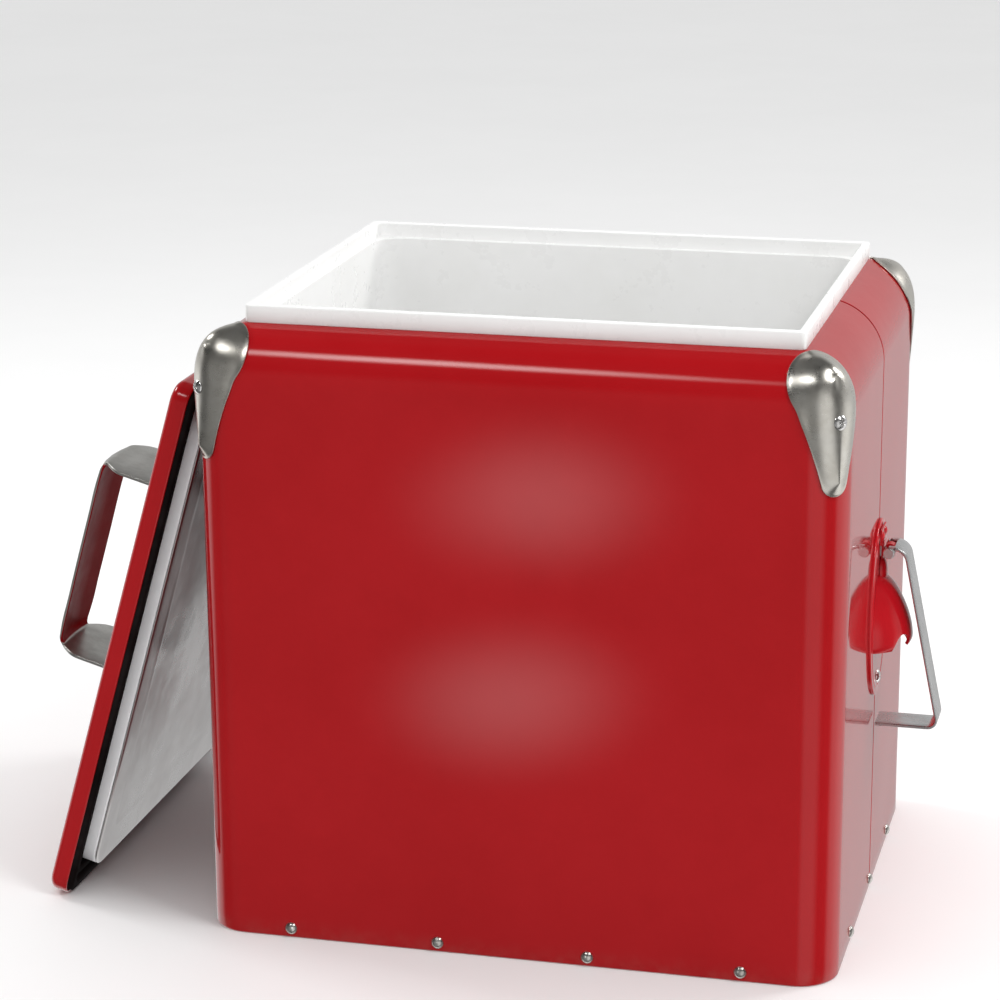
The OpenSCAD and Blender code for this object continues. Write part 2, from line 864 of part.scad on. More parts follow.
front_shell();
rear_shell();
base_pan();
base_rivets();
liner();
body_insulation();
guard_front_left();
guard_front_right();
guard_rear_left();
guard_rear_right();
guard_screws();
opener_plate();
bottle_opener();
opener_screws();
right_hinge_bracket();
right_hinge_rivets();
right_hinge_pin();
right_handle();
left_plate();
left_plate_screws();
left_hinge_bracket();
left_hinge_rivets();
left_hinge_pin();
left_handle();
lid_pan();
lid_seal();
lid_inner_pan();
lid_insulation();
lid_handle();
lid_handle_rivets();
lid_backing_plates();
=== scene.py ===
# Vintage soda cooler chest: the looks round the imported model. Metres, +Z up, front towards -Y.
import json
import math
import bmesh
import bpy
import numpy as np
from mathutils import Matrix, Vector


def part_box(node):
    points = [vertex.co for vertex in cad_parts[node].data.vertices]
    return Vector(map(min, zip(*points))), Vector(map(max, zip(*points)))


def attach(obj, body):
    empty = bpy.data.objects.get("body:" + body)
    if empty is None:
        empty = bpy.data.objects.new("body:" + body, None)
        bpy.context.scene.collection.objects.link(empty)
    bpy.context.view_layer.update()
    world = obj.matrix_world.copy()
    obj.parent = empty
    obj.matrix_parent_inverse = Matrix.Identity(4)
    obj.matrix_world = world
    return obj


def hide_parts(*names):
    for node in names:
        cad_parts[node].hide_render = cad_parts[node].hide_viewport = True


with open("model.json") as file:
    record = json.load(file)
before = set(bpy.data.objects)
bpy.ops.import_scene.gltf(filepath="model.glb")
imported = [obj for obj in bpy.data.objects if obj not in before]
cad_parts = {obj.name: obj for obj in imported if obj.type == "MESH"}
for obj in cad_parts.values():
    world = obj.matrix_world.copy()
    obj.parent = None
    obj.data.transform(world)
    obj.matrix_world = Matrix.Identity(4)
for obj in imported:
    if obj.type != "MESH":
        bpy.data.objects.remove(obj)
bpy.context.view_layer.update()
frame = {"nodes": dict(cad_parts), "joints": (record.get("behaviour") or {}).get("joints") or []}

mm = 0.001

print("cooler: frame loaded")

# Measures taken from the frame


def meshPoints(mesh):
    flat = np.empty(len(mesh.vertices) * 3)
    mesh.vertices.foreach_get("co", flat)
    return flat.reshape(-1, 3)


def nodePoints(node):
    return meshPoints(frame["nodes"][node].data)


def boxOf(node):
    low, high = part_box(node)
    return np.array(low), np.array(high)


frontLow, frontHigh = boxOf("front_shell")
collarLow, collarHigh = boxOf("liner")
halfW = frontHigh[0]  # half the chest's length
halfD = -frontLow[1]  # half its depth

chest = {
    "cornerR": 20 * mm,  # upright corners
    "sideR": 30 * mm,  # top edge over the side walls
    "frontR": 27 * mm,  # top edge over the front and rear walls
    "sheet": 0.9 * mm,
    "hem": 1.2 * mm,  # rounding of the lower edge
    "seamTuck": 1.7 * mm,  # depth of the joggle beside the seam
    "seamGap": 1.3 * mm,  # open width of the seam
    "seamRamp": 0.9 * mm,  # width over which the joggle comes back up
    "tongue": 0.075,  # strip of the rear half under the front half, as a share of the wall
    "upstand": 6 * mm,  # the sheet's turned-up edge stands this far over the collar's seat
    "wave": 0.07 * mm,  # slight unevenness of the pressed sheet
}
collarHalfW, collarHalfD = collarHigh[0], collarHigh[1]
sideInset = halfW - collarHalfW
frontInset = halfD - collarHalfD


def topDrop(radius, inset):
    # how far a rounded edge has dropped below its top at a distance inset from its wall
    return radius - np.sqrt(radius**2 - np.maximum(0, radius - inset) ** 2)


rimZ = collarHigh[2]
seatZ = nodePoints("front_shell")[:, 2].max() - chest["upstand"]
topZ = seatZ + min(topDrop(chest["sideR"], sideInset), topDrop(chest["frontR"], frontInset))

# Grids, loops and paths, and the pieces made of them


def unitRows(v):
    return v / np.maximum(np.linalg.norm(v, axis=-1, keepdims=True), 1e-12)


def gridNormals(p):
    # normals of a grid of points: the cross product of its two directions
    return unitRows(np.cross(np.gradient(p, axis=1), np.gradient(p, axis=0)))


def gridPart(points, closed=False, caps=(False, False)):
    # quads between the rows and columns of a grid, with an n-gon on a closed first or last row
    rows, cols = points.shape[:2]
    index = np.arange(rows * cols).reshape(rows, cols)
    if closed:
        index = np.concatenate([index, index[:, :1]], axis=1)
    quads = np.stack([index[:-1, :-1], index[:-1, 1:], index[1:, 1:], index[1:, :-1]], axis=-1)
    faces = quads.reshape(-1, 4).tolist()
    if caps[0]:
        faces.append(index[0, :cols][::-1].tolist())
    if caps[1]:
        faces.append(index[-1, :cols].tolist())
    return points.reshape(-1, 3), faces


def solidPart(points):
    return gridPart(points, closed=True, caps=(True, True))


def makePiece(name, parts, material, body, stands=(), sharp=40, weld=1e-6):
    # one object from several parts, its doubles merged and its faces turned outwards
    points, faces, start = [], [], 0
    for partPoints, partFaces in parts:
        points.append(partPoints)
        faces += [[i + start for i in face] for face in partFaces]
        start += len(partPoints)
    mesh = bpy.data.meshes.new(name)
    mesh.from_pydata(np.concatenate(points).tolist(), [], faces)
    work = bmesh.new()
    work.from_mesh(mesh)
    bmesh.ops.remove_doubles(work, verts=work.verts, dist=weld)
    bmesh.ops.recalc_face_normals(work, faces=work.faces)
    work.to_mesh(mesh)
    work.free()
    mesh.shade_smooth()
    mesh.set_sharp_from_angle(angle=math.radians(sharp))
    mesh.materials.append(material)
    piece = bpy.data.objects.new(name, mesh)
    bpy.context.scene.collection.objects.link(piece)
    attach(piece, body)
    if stands:
        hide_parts(*stands)
    return piece


def markPoints(piece, label, values):
    # a value at each point, which the piece's material reads by its name
    layer = piece.data.attributes.new(label, "FLOAT", "POINT")
    layer.data.foreach_set("value", values.astype(np.float32))


def thicken(piece, depth, bevel=0.0, subdivide=0):
    # sheet metal: a thickness inwards, a small round on its edges, and a smoother surface
    wall = piece.modifiers.new("wall", "SOLIDIFY")
    wall.thickness, wall.offset = depth, -1
    if bevel:
        softenEdges(piece, bevel)
    if subdivide:
        smoother = piece.modifiers.new("smooth", "SUBSURF")
        smoother.levels = smoother.render_levels = subdivide


def softenEdges(piece, width, angle=40):
    edge = piece.modifiers.new("edge", "BEVEL")
    edge.width, edge.segments, edge.limit_method = width, 2, "ANGLE"
    edge.angle_limit, edge.harden_normals = math.radians(angle), True


def softCopy(name, node, material, body, width):
    # a plain CAD node again, with merged corners and softly rounded edges
    source = frame["nodes"][node].data
    points = nodePoints(node)
    faces = [list(p.vertices) for p in source.polygons]
    softenEdges(makePiece(name, [(points, faces)], material, body, (node,), sharp=30), width, angle=30)


def ringLoop(cornerSteps, sideSteps):
    # closed loop round a rounded rectangle: the corner each point belongs to, and its direction
    corners = [(1, 1), (-1, 1), (-1, -1), (1, -1)]
    sign, turn = [], []
    for k, (cx, cy) in enumerate(corners):
        angles = np.radians(90 * k) + np.linspace(0, np.pi / 2, cornerSteps + 1)
        sign += [(cx, cy)] * len(angles)
        turn += list(angles)
        nx, ny = corners[(k + 1) % 4]
        for t in np.linspace(0, 1, sideSteps + 1)[1:-1]:
            sign.append((cx + (nx - cx) * t, cy + (ny - cy) * t))
            turn.append(angles[-1])
    return np.array(sign, float), np.array(turn)


def halfLoop(side, nearSteps, frontSteps, cornerSteps):
    # half of that loop, from the right wall round the front (side -1) or the rear (side 1)
    quarter = np.linspace(0, np.pi / 2, cornerSteps + 1)
    across = np.linspace(1, -1, frontSteps + 1)[1:-1]
    sign = [(1, side * t) for t in nearSteps] + [(1, side)] * len(quarter)
    sign += [(x, side) for x in across] + [(-1, side)] * len(quarter)
    sign += [(-1, side * t) for t in nearSteps[::-1]]
    turn = [0] * len(nearSteps) + list(side * quarter) + [side * np.pi / 2] * len(across)
    turn += list(side * (np.pi / 2 + quarter)) + [side * np.pi] * len(nearSteps)
    return np.array(sign, float), np.array(turn)


def loopPoints(loop, halfX, halfY, radius, z):
    # the loop's points for rows of half sizes, corner radii and heights
    sign, turn = loop
    hx, hy, r, h = (np.asarray(v, float).reshape(-1, 1) for v in (halfX, halfY, radius, z))
    x = sign[:, 0] * (hx - r) + r * np.cos(turn)
    y = sign[:, 1] * (hy - r) + r * np.sin(turn)
    return np.stack([x, y, np.broadcast_to(h, x.shape)], axis=-1)


def sweep(path, sideways, widths, depth, edgeR, steps=4):
    # a flat strap along a path: a rounded rectangle, depth thick, carried square to the path
    along = unitRows(np.gradient(path, axis=0))
    side = np.broadcast_to(np.asarray(sideways, float), path.shape)
    outward = unitRows(np.cross(along, side))
    sign, turn = ringLoop(steps, 4)
    r = min(edgeR, depth / 2 * 0.999)
    half = np.asarray(widths, float).reshape(-1, 1, 1) / 2
    u = sign[:, 0].reshape(1, -1, 1) * (half - r) + r * np.cos(turn).reshape(1, -1, 1)
    v = (sign[:, 1] * (depth / 2 - r) + r * np.sin(turn)).reshape(1, -1, 1)
    return path[:, None, :] + side[:, None, :] * u + outward[:, None, :] * v


def bentPath(corners, radii, steps=10):
    # a path through corners in a plane, each inner one rounded by an arc
    c = np.array(corners, float)
    points = [c[0]]
    for i in range(1, len(c) - 1):
        a, b = unitRows(c[i - 1] - c[i]), unitRows(c[i + 1] - c[i])
        half = math.acos(np.clip(a @ b, -1, 1)) / 2
        middle = c[i] + unitRows(a + b) * radii[i - 1] / math.sin(half)
        start = c[i] + a * radii[i - 1] / math.tan(half) - middle
        stop = c[i] + b * radii[i - 1] / math.tan(half) - middle
        full = math.acos(np.clip(unitRows(start) @ unitRows(stop), -1, 1))
        t = np.linspace(0, 1, steps + 1)[:, None]
        points += list(middle + (start * np.sin((1 - t) * full) + stop * np.sin(t * full)) / math.sin(full))
    points.append(c[-1])
    return np.array(points)


def evenPath(points, count):
    # the same path with count points evenly spaced along it
    far = np.concatenate([[0], np.cumsum(np.linalg.norm(np.diff(points, axis=0), axis=1))])
    t = np.linspace(0, far[-1], count)
    return np.stack([np.interp(t, far, points[:, i]) for i in range(points.shape[1])], axis=1)


def placed(points, matrix):
    m = np.array(matrix)
    return points @ m[:3, :3].T + m[:3, 3]


def facing(place, outward, up=(0, 0, 1)):
    # a frame whose Z looks outwards and whose Y is as near to up as it can be
    z = np.array(outward, float) / np.linalg.norm(outward)
    x = np.cross(up, z)
    x /= np.linalg.norm(x)
    m = np.eye(4)
    m[:3, 0], m[:3, 1], m[:3, 2], m[:3, 3] = x, np.cross(z, x), z, place
    return m


def domeHead(radius, height, cross=0.0, rings=10, spokes=40):
    # a round head: a ball's cap over a short rim; a cross-shaped recess sinks into its middle
    t = np.linspace(0, 1, rings + 1)[:, None]
    angle = np.linspace(0, 2 * np.pi, spokes, endpoint=False)[None, :]
    ball = (radius**2 + height**2) / (2 * height)
    r = np.maximum(radius * t, 1e-5)
    z = height - ball + np.sqrt(ball**2 - r**2) + 0 * angle
    x, y = r * np.cos(angle), r * np.sin(angle)
    if cross:
        arm, width = 0.52 * radius, 0.13 * radius
        inside = np.maximum(np.minimum(abs(x), abs(y)) / width, np.maximum(abs(x), abs(y)) / arm)
        z = z - cross * np.clip(1.6 - 1.5 * inside, 0, 1)
    cap = np.stack([x + 0 * z, y + 0 * z, z], axis=-1)
    rim = cap[-1:] - np.array([0, 0, 0.35 * height])
    return np.concatenate([cap, rim])


# Node helpers and the effects that several finishes share


def link(tree, source, target):
    tree.links.new(source, target)


def feed(tree, socket, value):
    # another socket is linked in, and anything else becomes the socket's own value
    if isinstance(value, bpy.types.NodeSocket):
        link(tree, value, socket)
    else:
        socket.default_value = value


def effect(name, inputs, outputs):
    # an empty shader group: numbers make float inputs, the rest are vectors; every output is a float
    tree = bpy.data.node_groups.new(name, "ShaderNodeTree")
    for label, value in inputs.items():
        kind = "NodeSocketFloat" if isinstance(value, float) else "NodeSocketVector"
        socket = tree.interface.new_socket(name=label, in_out="INPUT", socket_type=kind)
        if value is not None:
            socket.default_value = value
    for label in outputs:
        tree.interface.new_socket(name=label, in_out="OUTPUT", socket_type="NodeSocketFloat")
    return tree, tree.nodes.new("NodeGroupInput"), tree.nodes.new("NodeGroupOutput")


def mathNode(tree, operation, *values):
    node = tree.nodes.new("ShaderNodeMath")
    node.operation = operation
    for socket, value in zip(node.inputs, values):
        feed(tree, socket, value)
    return node.outputs[0]


def product(tree, a, b):
    return mathNode(tree, "MULTIPLY", a, b)


def weighted(tree, a, shareOfA, b, shareOfB):
    # a * shareOfA + b * shareOfB
    return mathNode(tree, "ADD", product(tree, a, shareOfA), product(tree, b, shareOfB))


def noiseNode(tree, vector, scale, detail=3.0, rough=0.55):
    node = tree.nodes.new("ShaderNodeTexNoise")
    for label, value in (("Vector", vector), ("Scale", scale), ("Detail", detail), ("Roughness", rough)):
        feed(tree, node.inputs[label], value)
    return node.outputs["Fac"]


def rangeNode(tree, value, low, high, toLow, toHigh):
    # low..high goes to toLow..toHigh along a smooth step
    node = tree.nodes.new("ShaderNodeMapRange")
    node.interpolation_type = "SMOOTHSTEP"
    for socket, setting in zip(node.inputs, (value, low, high, toLow, toHigh)):
        feed(tree, socket, setting)
    return node.outputs[0]


def mottleEffect():
    # soft clouds between a low and a high value: two sizes of noise added up
    tree, start, end = effect("mottle", {"Vector": None, "Scale": 20.0, "Low": 0.0, "High": 1.0}, ["Value"])
    big = noiseNode(tree, start.outputs["Vector"], start.outputs["Scale"], 4.0)
    fineScale = product(tree, start.outputs["Scale"], 5.3)
    fine = noiseNode(tree, start.outputs["Vector"], fineScale, 3.0)
    mix = weighted(tree, big, 0.72, fine, 0.28)
    value = rangeNode(tree, mix, 0.34, 0.66, start.outputs["Low"], start.outputs["High"])
    link(tree, value, end.inputs["Value"])
    return tree


def grainEffect():
    # rolled grain: noise drawn out along one axis, with a few longer scratches in it
    tree, start, end = effect("rolledGrain", {
        "Vector": None, "Stretch": (30.0, 900.0, 900.0), "Scratches": 0.3}, ["Height", "Value"])
    drawn = tree.nodes.new("ShaderNodeVectorMath")
    drawn.operation = "MULTIPLY"
    link(tree, start.outputs["Vector"], drawn.inputs[0])
    link(tree, start.outputs["Stretch"], drawn.inputs[1])
    grain = noiseNode(tree, drawn.outputs[0], 1.0, 4.0, 0.6)
    wide = noiseNode(tree, drawn.outputs[0], 0.21, 2.0, 0.5)
    scratch = rangeNode(tree, wide, 0.6, 0.72, 0.0, 1.0)
    cut = product(tree, scratch, start.outputs["Scratches"])
    link(tree, mathNode(tree, "SUBTRACT", grain, cut), end.inputs["Height"])
    link(tree, weighted(tree, grain, 0.6, wide, 0.4), end.inputs["Value"])
    return tree


def edgeEffect():
    # rubbed edges: where the surface turns sharply, broken up by noise
    tree, start, end = effect("rubbedEdge", {"Vector": None, "Amount": 0.5}, ["Mask"])
    geometry = tree.nodes.new("ShaderNodeNewGeometry")
    corner = rangeNode(tree, geometry.outputs["Pointiness"], 0.52, 0.62, 0.0, 1.0)
    patch = rangeNode(tree, noiseNode(tree, start.outputs["Vector"], 160.0, 3.0), 0.42, 0.62, 0.2, 1.0)
    mask = product(tree, product(tree, corner, patch), start.outputs["Amount"])
    link(tree, mask, end.inputs["Mask"])
    return tree


def dustEffect():
    # dust near the floor: most at the foot, gone above a height, broken up by noise
    tree, start, end = effect("dustLow", {"Vector": None, "Height": 0.03, "Amount": 0.3}, ["Mask"])
    parts = tree.nodes.new("ShaderNodeSeparateXYZ")
    link(tree, start.outputs["Vector"], parts.inputs[0])
    low = rangeNode(tree, parts.outputs["Z"], 0.0, start.outputs["Height"], 1.0, 0.0)
    patch = rangeNode(tree, noiseNode(tree, start.outputs["Vector"], 130.0, 4.0), 0.35, 0.7, 0.1, 1.0)
    mask = product(tree, product(tree, low, patch), start.outputs["Amount"])
    link(tree, mask, end.inputs["Mask"])
    return tree


mottle, rolledGrain, rubbedEdge, dustLow = mottleEffect(), grainEffect(), edgeEffect(), dustEffect()


def finish(name, look):
    # a material with one Principled shader; look gives the sockets that are the same all over
    material = bpy.data.materials.new(name)
    material.use_nodes = True
    tree = material.node_tree
    shader = tree.nodes["Principled BSDF"]
    for socket, value in look.items():
        shader.inputs[socket].default_value = value
    return material, tree, shader


def objectVector(tree, turn=(0, 0, 0)):
    place = tree.nodes.new("ShaderNodeTexCoord")
    if turn == (0, 0, 0):
        return place.outputs["Object"]
    mapping = tree.nodes.new("ShaderNodeMapping")
    mapping.inputs["Rotation"].default_value = turn
    link(tree, place.outputs["Object"], mapping.inputs["Vector"])
    return mapping.outputs["Vector"]


def useEffect(tree, group, values):
    node = tree.nodes.new("ShaderNodeGroup")
    node.node_tree = group
    for label, value in values.items():
        feed(tree, node.inputs[label], value)
    return node.outputs


def clouds(tree, place, scale, low=0.0, high=1.0):
    return useEffect(tree, mottle, {"Vector": place, "Scale": scale, "Low": low, "High": high})["Value"]


def blendColours(tree, mask, a, b):
    node = tree.nodes.new("ShaderNodeMix")
    node.data_type = "RGBA"
    link(tree, mask, node.inputs[0])
    for socket, value in ((node.inputs[6], a), (node.inputs[7], b)):
        feed(tree, socket, (*value, 1) if isinstance(value, tuple) else value)
    return node.outputs[2]


def relief(tree, shader, height, strength, distance):
    node = tree.nodes.new("ShaderNodeBump")
    node.inputs["Strength"].default_value = strength
    node.inputs["Distance"].default_value = distance
    link(tree, height, node.inputs["Height"])
    link(tree, node.outputs[0], shader.inputs["Normal"])


# Finishes

enamel = {
    "deep": (0.345, 0.0035, 0.006),
    "bright": (0.37, 0.005, 0.008),
    "openerDeep": (0.42, 0.006, 0.011), "openerBright": (0.48, 0.009, 0.016),
    "lidReflectionRed": (0.22, 0.004, 0.007),  # painted reflection: the red lid as mirrored in the inner face of the lid's grip
    "dust": (0.34, 0.12, 0.10),
    # painted shade: near-black that stands in for the shadow inside the seam's sunk strip
    "seamShade": (0.02, 0.002, 0.002),
    "orangePeel": 420.0,  # marks a metre
}


def enamelFinish(name, deep, bright):
    # gloss stove enamel: clouds of two reds, orange peel, a little dust at the foot, painted shade at the
    # seam
    material, tree, shader = finish(name, {
        "Roughness": 0.42, "Specular IOR Level": 0.03, "Coat Weight": 0.95,
        "Coat Roughness": 0.05, "Coat IOR": 1.4, "Metallic": 0.0})
    place = objectVector(tree)
    cloud = clouds(tree, place, 9.0)
    colour = blendColours(tree, cloud, deep, bright)
    dust = useEffect(tree, dustLow, {"Vector": place, "Height": 0.012, "Amount": 0.12})["Mask"]
    colour = blendColours(tree, dust, colour, enamel["dust"])
    # painted shade: where the mesh marks a groove the red turns nearly black, standing in for the seam's
    # shadow
    mark = tree.nodes.new("ShaderNodeAttribute")
    mark.attribute_name = "groove"
    colour = blendColours(tree, mark.outputs["Fac"], colour, enamel["seamShade"])
    link(tree, colour, shader.inputs["Base Color"])
    smear = clouds(tree, place, 26.0, 0.38, 0.45)
    link(tree, smear, shader.inputs["Roughness"])
    peel = noiseNode(tree, place, enamel["orangePeel"], 2.0)
    relief(tree, shader, peel, 0.035, 0.0004)
    return material


def steelFinish(name, dark, light, cloudSize, rough, stretch, bump, turn=(0, 0, 0), scratches=0.3,
                metallic=1.0):
    # bare steel: stained clouds of two greys, rolled grain and rubbed edges
    material, tree, shader = finish(name, {"Metallic": metallic, "Coat Weight": 0.0})
    place = objectVector(tree, turn)
    cloud = clouds(tree, place, cloudSize)
    grain = useEffect(tree, rolledGrain, {"Vector": place, "Stretch": stretch, "Scratches": scratches})
    tone = weighted(tree, cloud, 0.7, grain["Value"], 0.3)
    colour = blendColours(tree, tone, dark, light)
    rubbed = useEffect(tree, rubbedEdge, {"Vector": place, "Amount": 0.35})["Mask"]
    colour = blendColours(tree, rubbed, colour, tuple(min(1, 1.25 * v) for v in light))
    link(tree, colour, shader.inputs["Base Color"])
    smear = clouds(tree, place, cloudSize * 1.7, *rough)
    link(tree, mathNode(tree, "MULTIPLY_ADD", grain["Value"], 0.08, smear), shader.inputs["Roughness"])
    relief(tree, shader, grain["Height"], bump, 0.0006)
    return material


plastic = {"dark": (0.83, 0.83, 0.82), "light": (0.86, 0.86, 0.855), "rough": (0.25, 0.4)}
rubber = {"dark": (0.006, 0.004, 0.004), "light": (0.014, 0.011, 0.011), "rough": (0.75, 0.9)}
foam = {"dark": (0.62, 0.56, 0.4), "light": (0.86, 0.82, 0.68)}


def plasticFinish():
    # white moulded liner: faint grey clouds and a fine texture
    material, tree, shader = finish("whitePlastic", {"Specular IOR Level": 0.42})
    place = objectVector(tree)
    cloud = clouds(tree, place, 14.0)
    colour = blendColours(tree, cloud, plastic["dark"], plastic["light"])
    link(tree, colour, shader.inputs["Base Color"])
    smear = clouds(tree, place, 60.0, *plastic["rough"])
    link(tree, smear, shader.inputs["Roughness"])
    relief(tree, shader, noiseNode(tree, place, 260.0, 2.0), 0.015, 0.0004)
    return material


def rubberFinish():
    # black seal: dusty clouds over a matt black with a fine skin
    material, tree, shader = finish("blackRubber", {"Specular IOR Level": 0.02})
    place = objectVector(tree)
    cloud = clouds(tree, place, 40.0)
    colour = blendColours(tree, cloud, rubber["dark"], rubber["light"])
    link(tree, colour, shader.inputs["Base Color"])
    smear = clouds(tree, place, 90.0, *rubber["rough"])
    link(tree, smear, shader.inputs["Roughness"])
    relief(tree, shader, noiseNode(tree, place, 700.0, 4.0), 0.12, 0.0004)
    return material


def foamFinish():
    # rigid foam: cream with darker open cells
    material, tree, shader = finish("creamFoam", {"Roughness": 0.9})
    place = objectVector(tree)
    cell = noiseNode(tree, place, 500.0, 5.0)
    link(tree, blendColours(tree, cell, foam["dark"], foam["light"]), shader.inputs["Base Color"])
    relief(tree, shader, cell, 0.4, 0.001)
    return material


def paintLidReflection(material, colour):
    # painted reflection of the red lid on the grip's inner face: colour and metal are blended by the mesh's
    # mark
    tree = material.node_tree
    shader = tree.nodes["Principled BSDF"]
    mark = tree.nodes.new("ShaderNodeAttribute")
    mark.attribute_name = "inner"
    bare = shader.inputs["Base Color"].links[0].from_socket
    link(tree, blendColours(tree, mark.outputs["Fac"], bare, colour), shader.inputs["Base Color"])
    for socket, full, loss in (("Metallic", 1.0, 0.85), ("Specular IOR Level", 0.5, 0.47)):
        less = mathNode(tree, "SUBTRACT", full, product(tree, mark.outputs["Fac"], loss))
        link(tree, less, shader.inputs[socket])


lean = math.radians(16)  # the loose lid's lean from the upright
onLid = (0, -lean, 0)  # turns the grain along the lid
steels = {  # two greys, size of the clouds, range of the roughness, stretch of the grain
    "guardSteel": {"dark": (0.54, 0.515, 0.46), "light": (0.68, 0.66, 0.61), "cloudSize": 70.0,
                   "rough": (0.22, 0.3), "stretch": (420.0, 420.0, 900.0), "bump": 0.004, "scratches": 0.1},
    "handleSteel": {"dark": (0.52, 0.53, 0.53), "light": (0.7, 0.7, 0.7), "cloudSize": 60.0,
                    "rough": (0.16, 0.26), "stretch": (900.0, 900.0, 60.0), "bump": 0.04},
    "gripSteel": {"dark": (0.42, 0.415, 0.39), "light": (0.6, 0.59, 0.56), "cloudSize": 55.0,
                  "rough": (0.24, 0.34), "stretch": (900.0, 900.0, 70.0), "bump": 0.06, "turn": onLid},
    "lidSteel": {"dark": (0.44, 0.425, 0.42), "light": (0.56, 0.545, 0.54), "cloudSize": 12.0,
                 "rough": (0.2, 0.34), "stretch": (700.0, 500.0, 60.0), "bump": 0.05, "turn": onLid,
                 "scratches": 0.2},
    "rimSteel": {"dark": (0.88, 0.89, 0.9), "light": (0.95, 0.95, 0.96), "cloudSize": 60.0,
                 "rough": (0.3, 0.4), "stretch": (300.0, 300.0, 60.0), "bump": 0.03, "turn": onLid,
                 "metallic": 0.1},
    "brightSteel": {"dark": (0.62, 0.61, 0.6), "light": (0.8, 0.79, 0.78), "cloudSize": 120.0,
                    "rough": (0.14, 0.24), "stretch": (500.0, 500.0, 500.0), "bump": 0.03},
    "rivetSteel": {"dark": (0.5, 0.47, 0.43), "light": (0.72, 0.7, 0.67), "cloudSize": 220.0,
                   "rough": (0.2, 0.34), "stretch": (800.0, 800.0, 800.0), "bump": 0.06},
    "zincSheet": {"dark": (0.34, 0.35, 0.36), "light": (0.56, 0.57, 0.58), "cloudSize": 34.0,
                  "rough": (0.34, 0.5), "stretch": (300.0, 300.0, 300.0), "bump": 0.08},
}
redEnamel = enamelFinish("redEnamel", enamel["deep"], enamel["bright"])
openerEnamel = enamelFinish("openerEnamel", enamel["openerDeep"], enamel["openerBright"])
steel = {name: steelFinish(name, **values) for name, values in steels.items()}
# the grip's inner face gets a painted reflection of the red lid
paintLidReflection(steel["gripSteel"], enamel["lidReflectionRed"])
whitePlastic, blackRubber, creamFoam = plasticFinish(), rubberFinish(), foamFinish()
print("cooler: finishes made")

# Chest shell


def shellRows():
    # heights of the rows and how far each lies inside the side and the front walls: a small hem,
    # the straight wall, then the quarter circles of the top edge as far as the collar
    hem = np.linspace(0, np.pi / 2, 5)[:-1]
    hemInset, hemZ = chest["hem"] * (1 - np.sin(hem)), chest["hem"] * (1 - np.cos(hem))
    springZ = topZ - chest["sideR"]
    wallZ = np.linspace(chest["hem"], springZ, 40)
    rise = np.linspace(0, math.acos(1 - (sideInset + 2 * mm) / chest["sideR"]), 30)[1:]
    archZ = springZ + chest["sideR"] * np.sin(rise)
    z = np.concatenate([hemZ, wallZ, archZ])
    side = np.concatenate([hemInset, 0 * wallZ, chest["sideR"] * (1 - np.cos(rise))])
    above = np.clip(z - (topZ - chest["frontR"]), 0, chest["frontR"])
    front = chest["frontR"] - np.sqrt(chest["frontR"] ** 2 - above**2)
    front[: len(hemZ)] = hemInset
    return z, side, front


def cornerRadius(inset):
    # the upright corner's radius shrinks as the top edge closes in over it
    return 3 * mm + (chest["cornerR"] - 3 * mm) * np.exp(-((inset / (5.0 * mm)) ** 1.5))


def waviness(p):
    # slight unevenness of pressed sheet: three long sine waves
    x, y, z = p[..., 0], p[..., 1], p[..., 2]
    waves = np.sin(31 * x + 17 * z + 1) + np.sin(23 * z - 19 * y) + np.sin(37 * (x + y) + 13 * z + 2)
    return chest["wave"] * waves


def shellHalf(side):
    # one half of the shell as a grid: rows up the wall, columns from one seam to the other
    z, sideIn, frontIn = shellRows()
    if side < 0:
        near = np.concatenate([np.linspace(0, 0.06, 4), np.linspace(0.1, 1, 14)[:-1]])
    else:
        near = np.concatenate([np.linspace(-chest["tongue"], 0.035, 42), np.linspace(0.07, 1, 14)[:-1]])
    loop = halfLoop(side, near, 40, 14)
    p = loopPoints(loop, halfW - sideIn, halfD - frontIn, cornerRadius(sideIn), z)
    normal = gridNormals(p)
    outward = np.sign((normal * (p - np.array([0, 0, topZ / 2]))).sum(-1).mean())
    normal = normal * outward
    shift = np.minimum(waviness(p), 0.0) * np.clip((p[..., 2] - 4 * mm) / (20 * mm), 0, 1)
    if side > 0:
        past = np.clip((p[..., 1] - chest["seamGap"]) / chest["seamRamp"], 0, 1)
        shift = shift - chest["seamTuck"] * (1 - past * past * (3 - 2 * past))
    return p + normal * shift[..., None]


for label, side in (("front", -1), ("rear", 1)):
    shell = makePiece(label + "Shell", [gridPart(shellHalf(side))], redEnamel, "chest",
                      (label + "_shell",))
    if label == "rear":  # painted shade: the sunk strip at the seam is darkened to stand in for its shadow
        pastGap = meshPoints(shell.data)[:, 1] - chest["seamGap"] - chest["seamRamp"] * 0.8
        markPoints(shell, "groove", np.clip(-pastGap / (0.4 * mm), 0, 1))
    thicken(shell, chest["sheet"], bevel=0.25 * mm)
print("cooler: shell made")

# White liner

liner = {
    "collarR": 2.6 * mm,  # upright corners of the collar
    "collarT": 3.8 * mm,
    "lipR": 0.9 * mm,  # rounding of the collar's top edges
    "step": 1.5 * mm,  # ledge inside the collar
    "tubR": 14 * mm,
    "floorZ": collarLow[2] + 1.8 * mm,
    "floorR": 9 * mm,  # rounding between the tub's walls and floor
    "draft": 1.6 * mm,  # the walls lean in by this much towards the floor
    "rings": (14, 34, 60, 84),  # rings that close the floor, in mm from its rounding
}


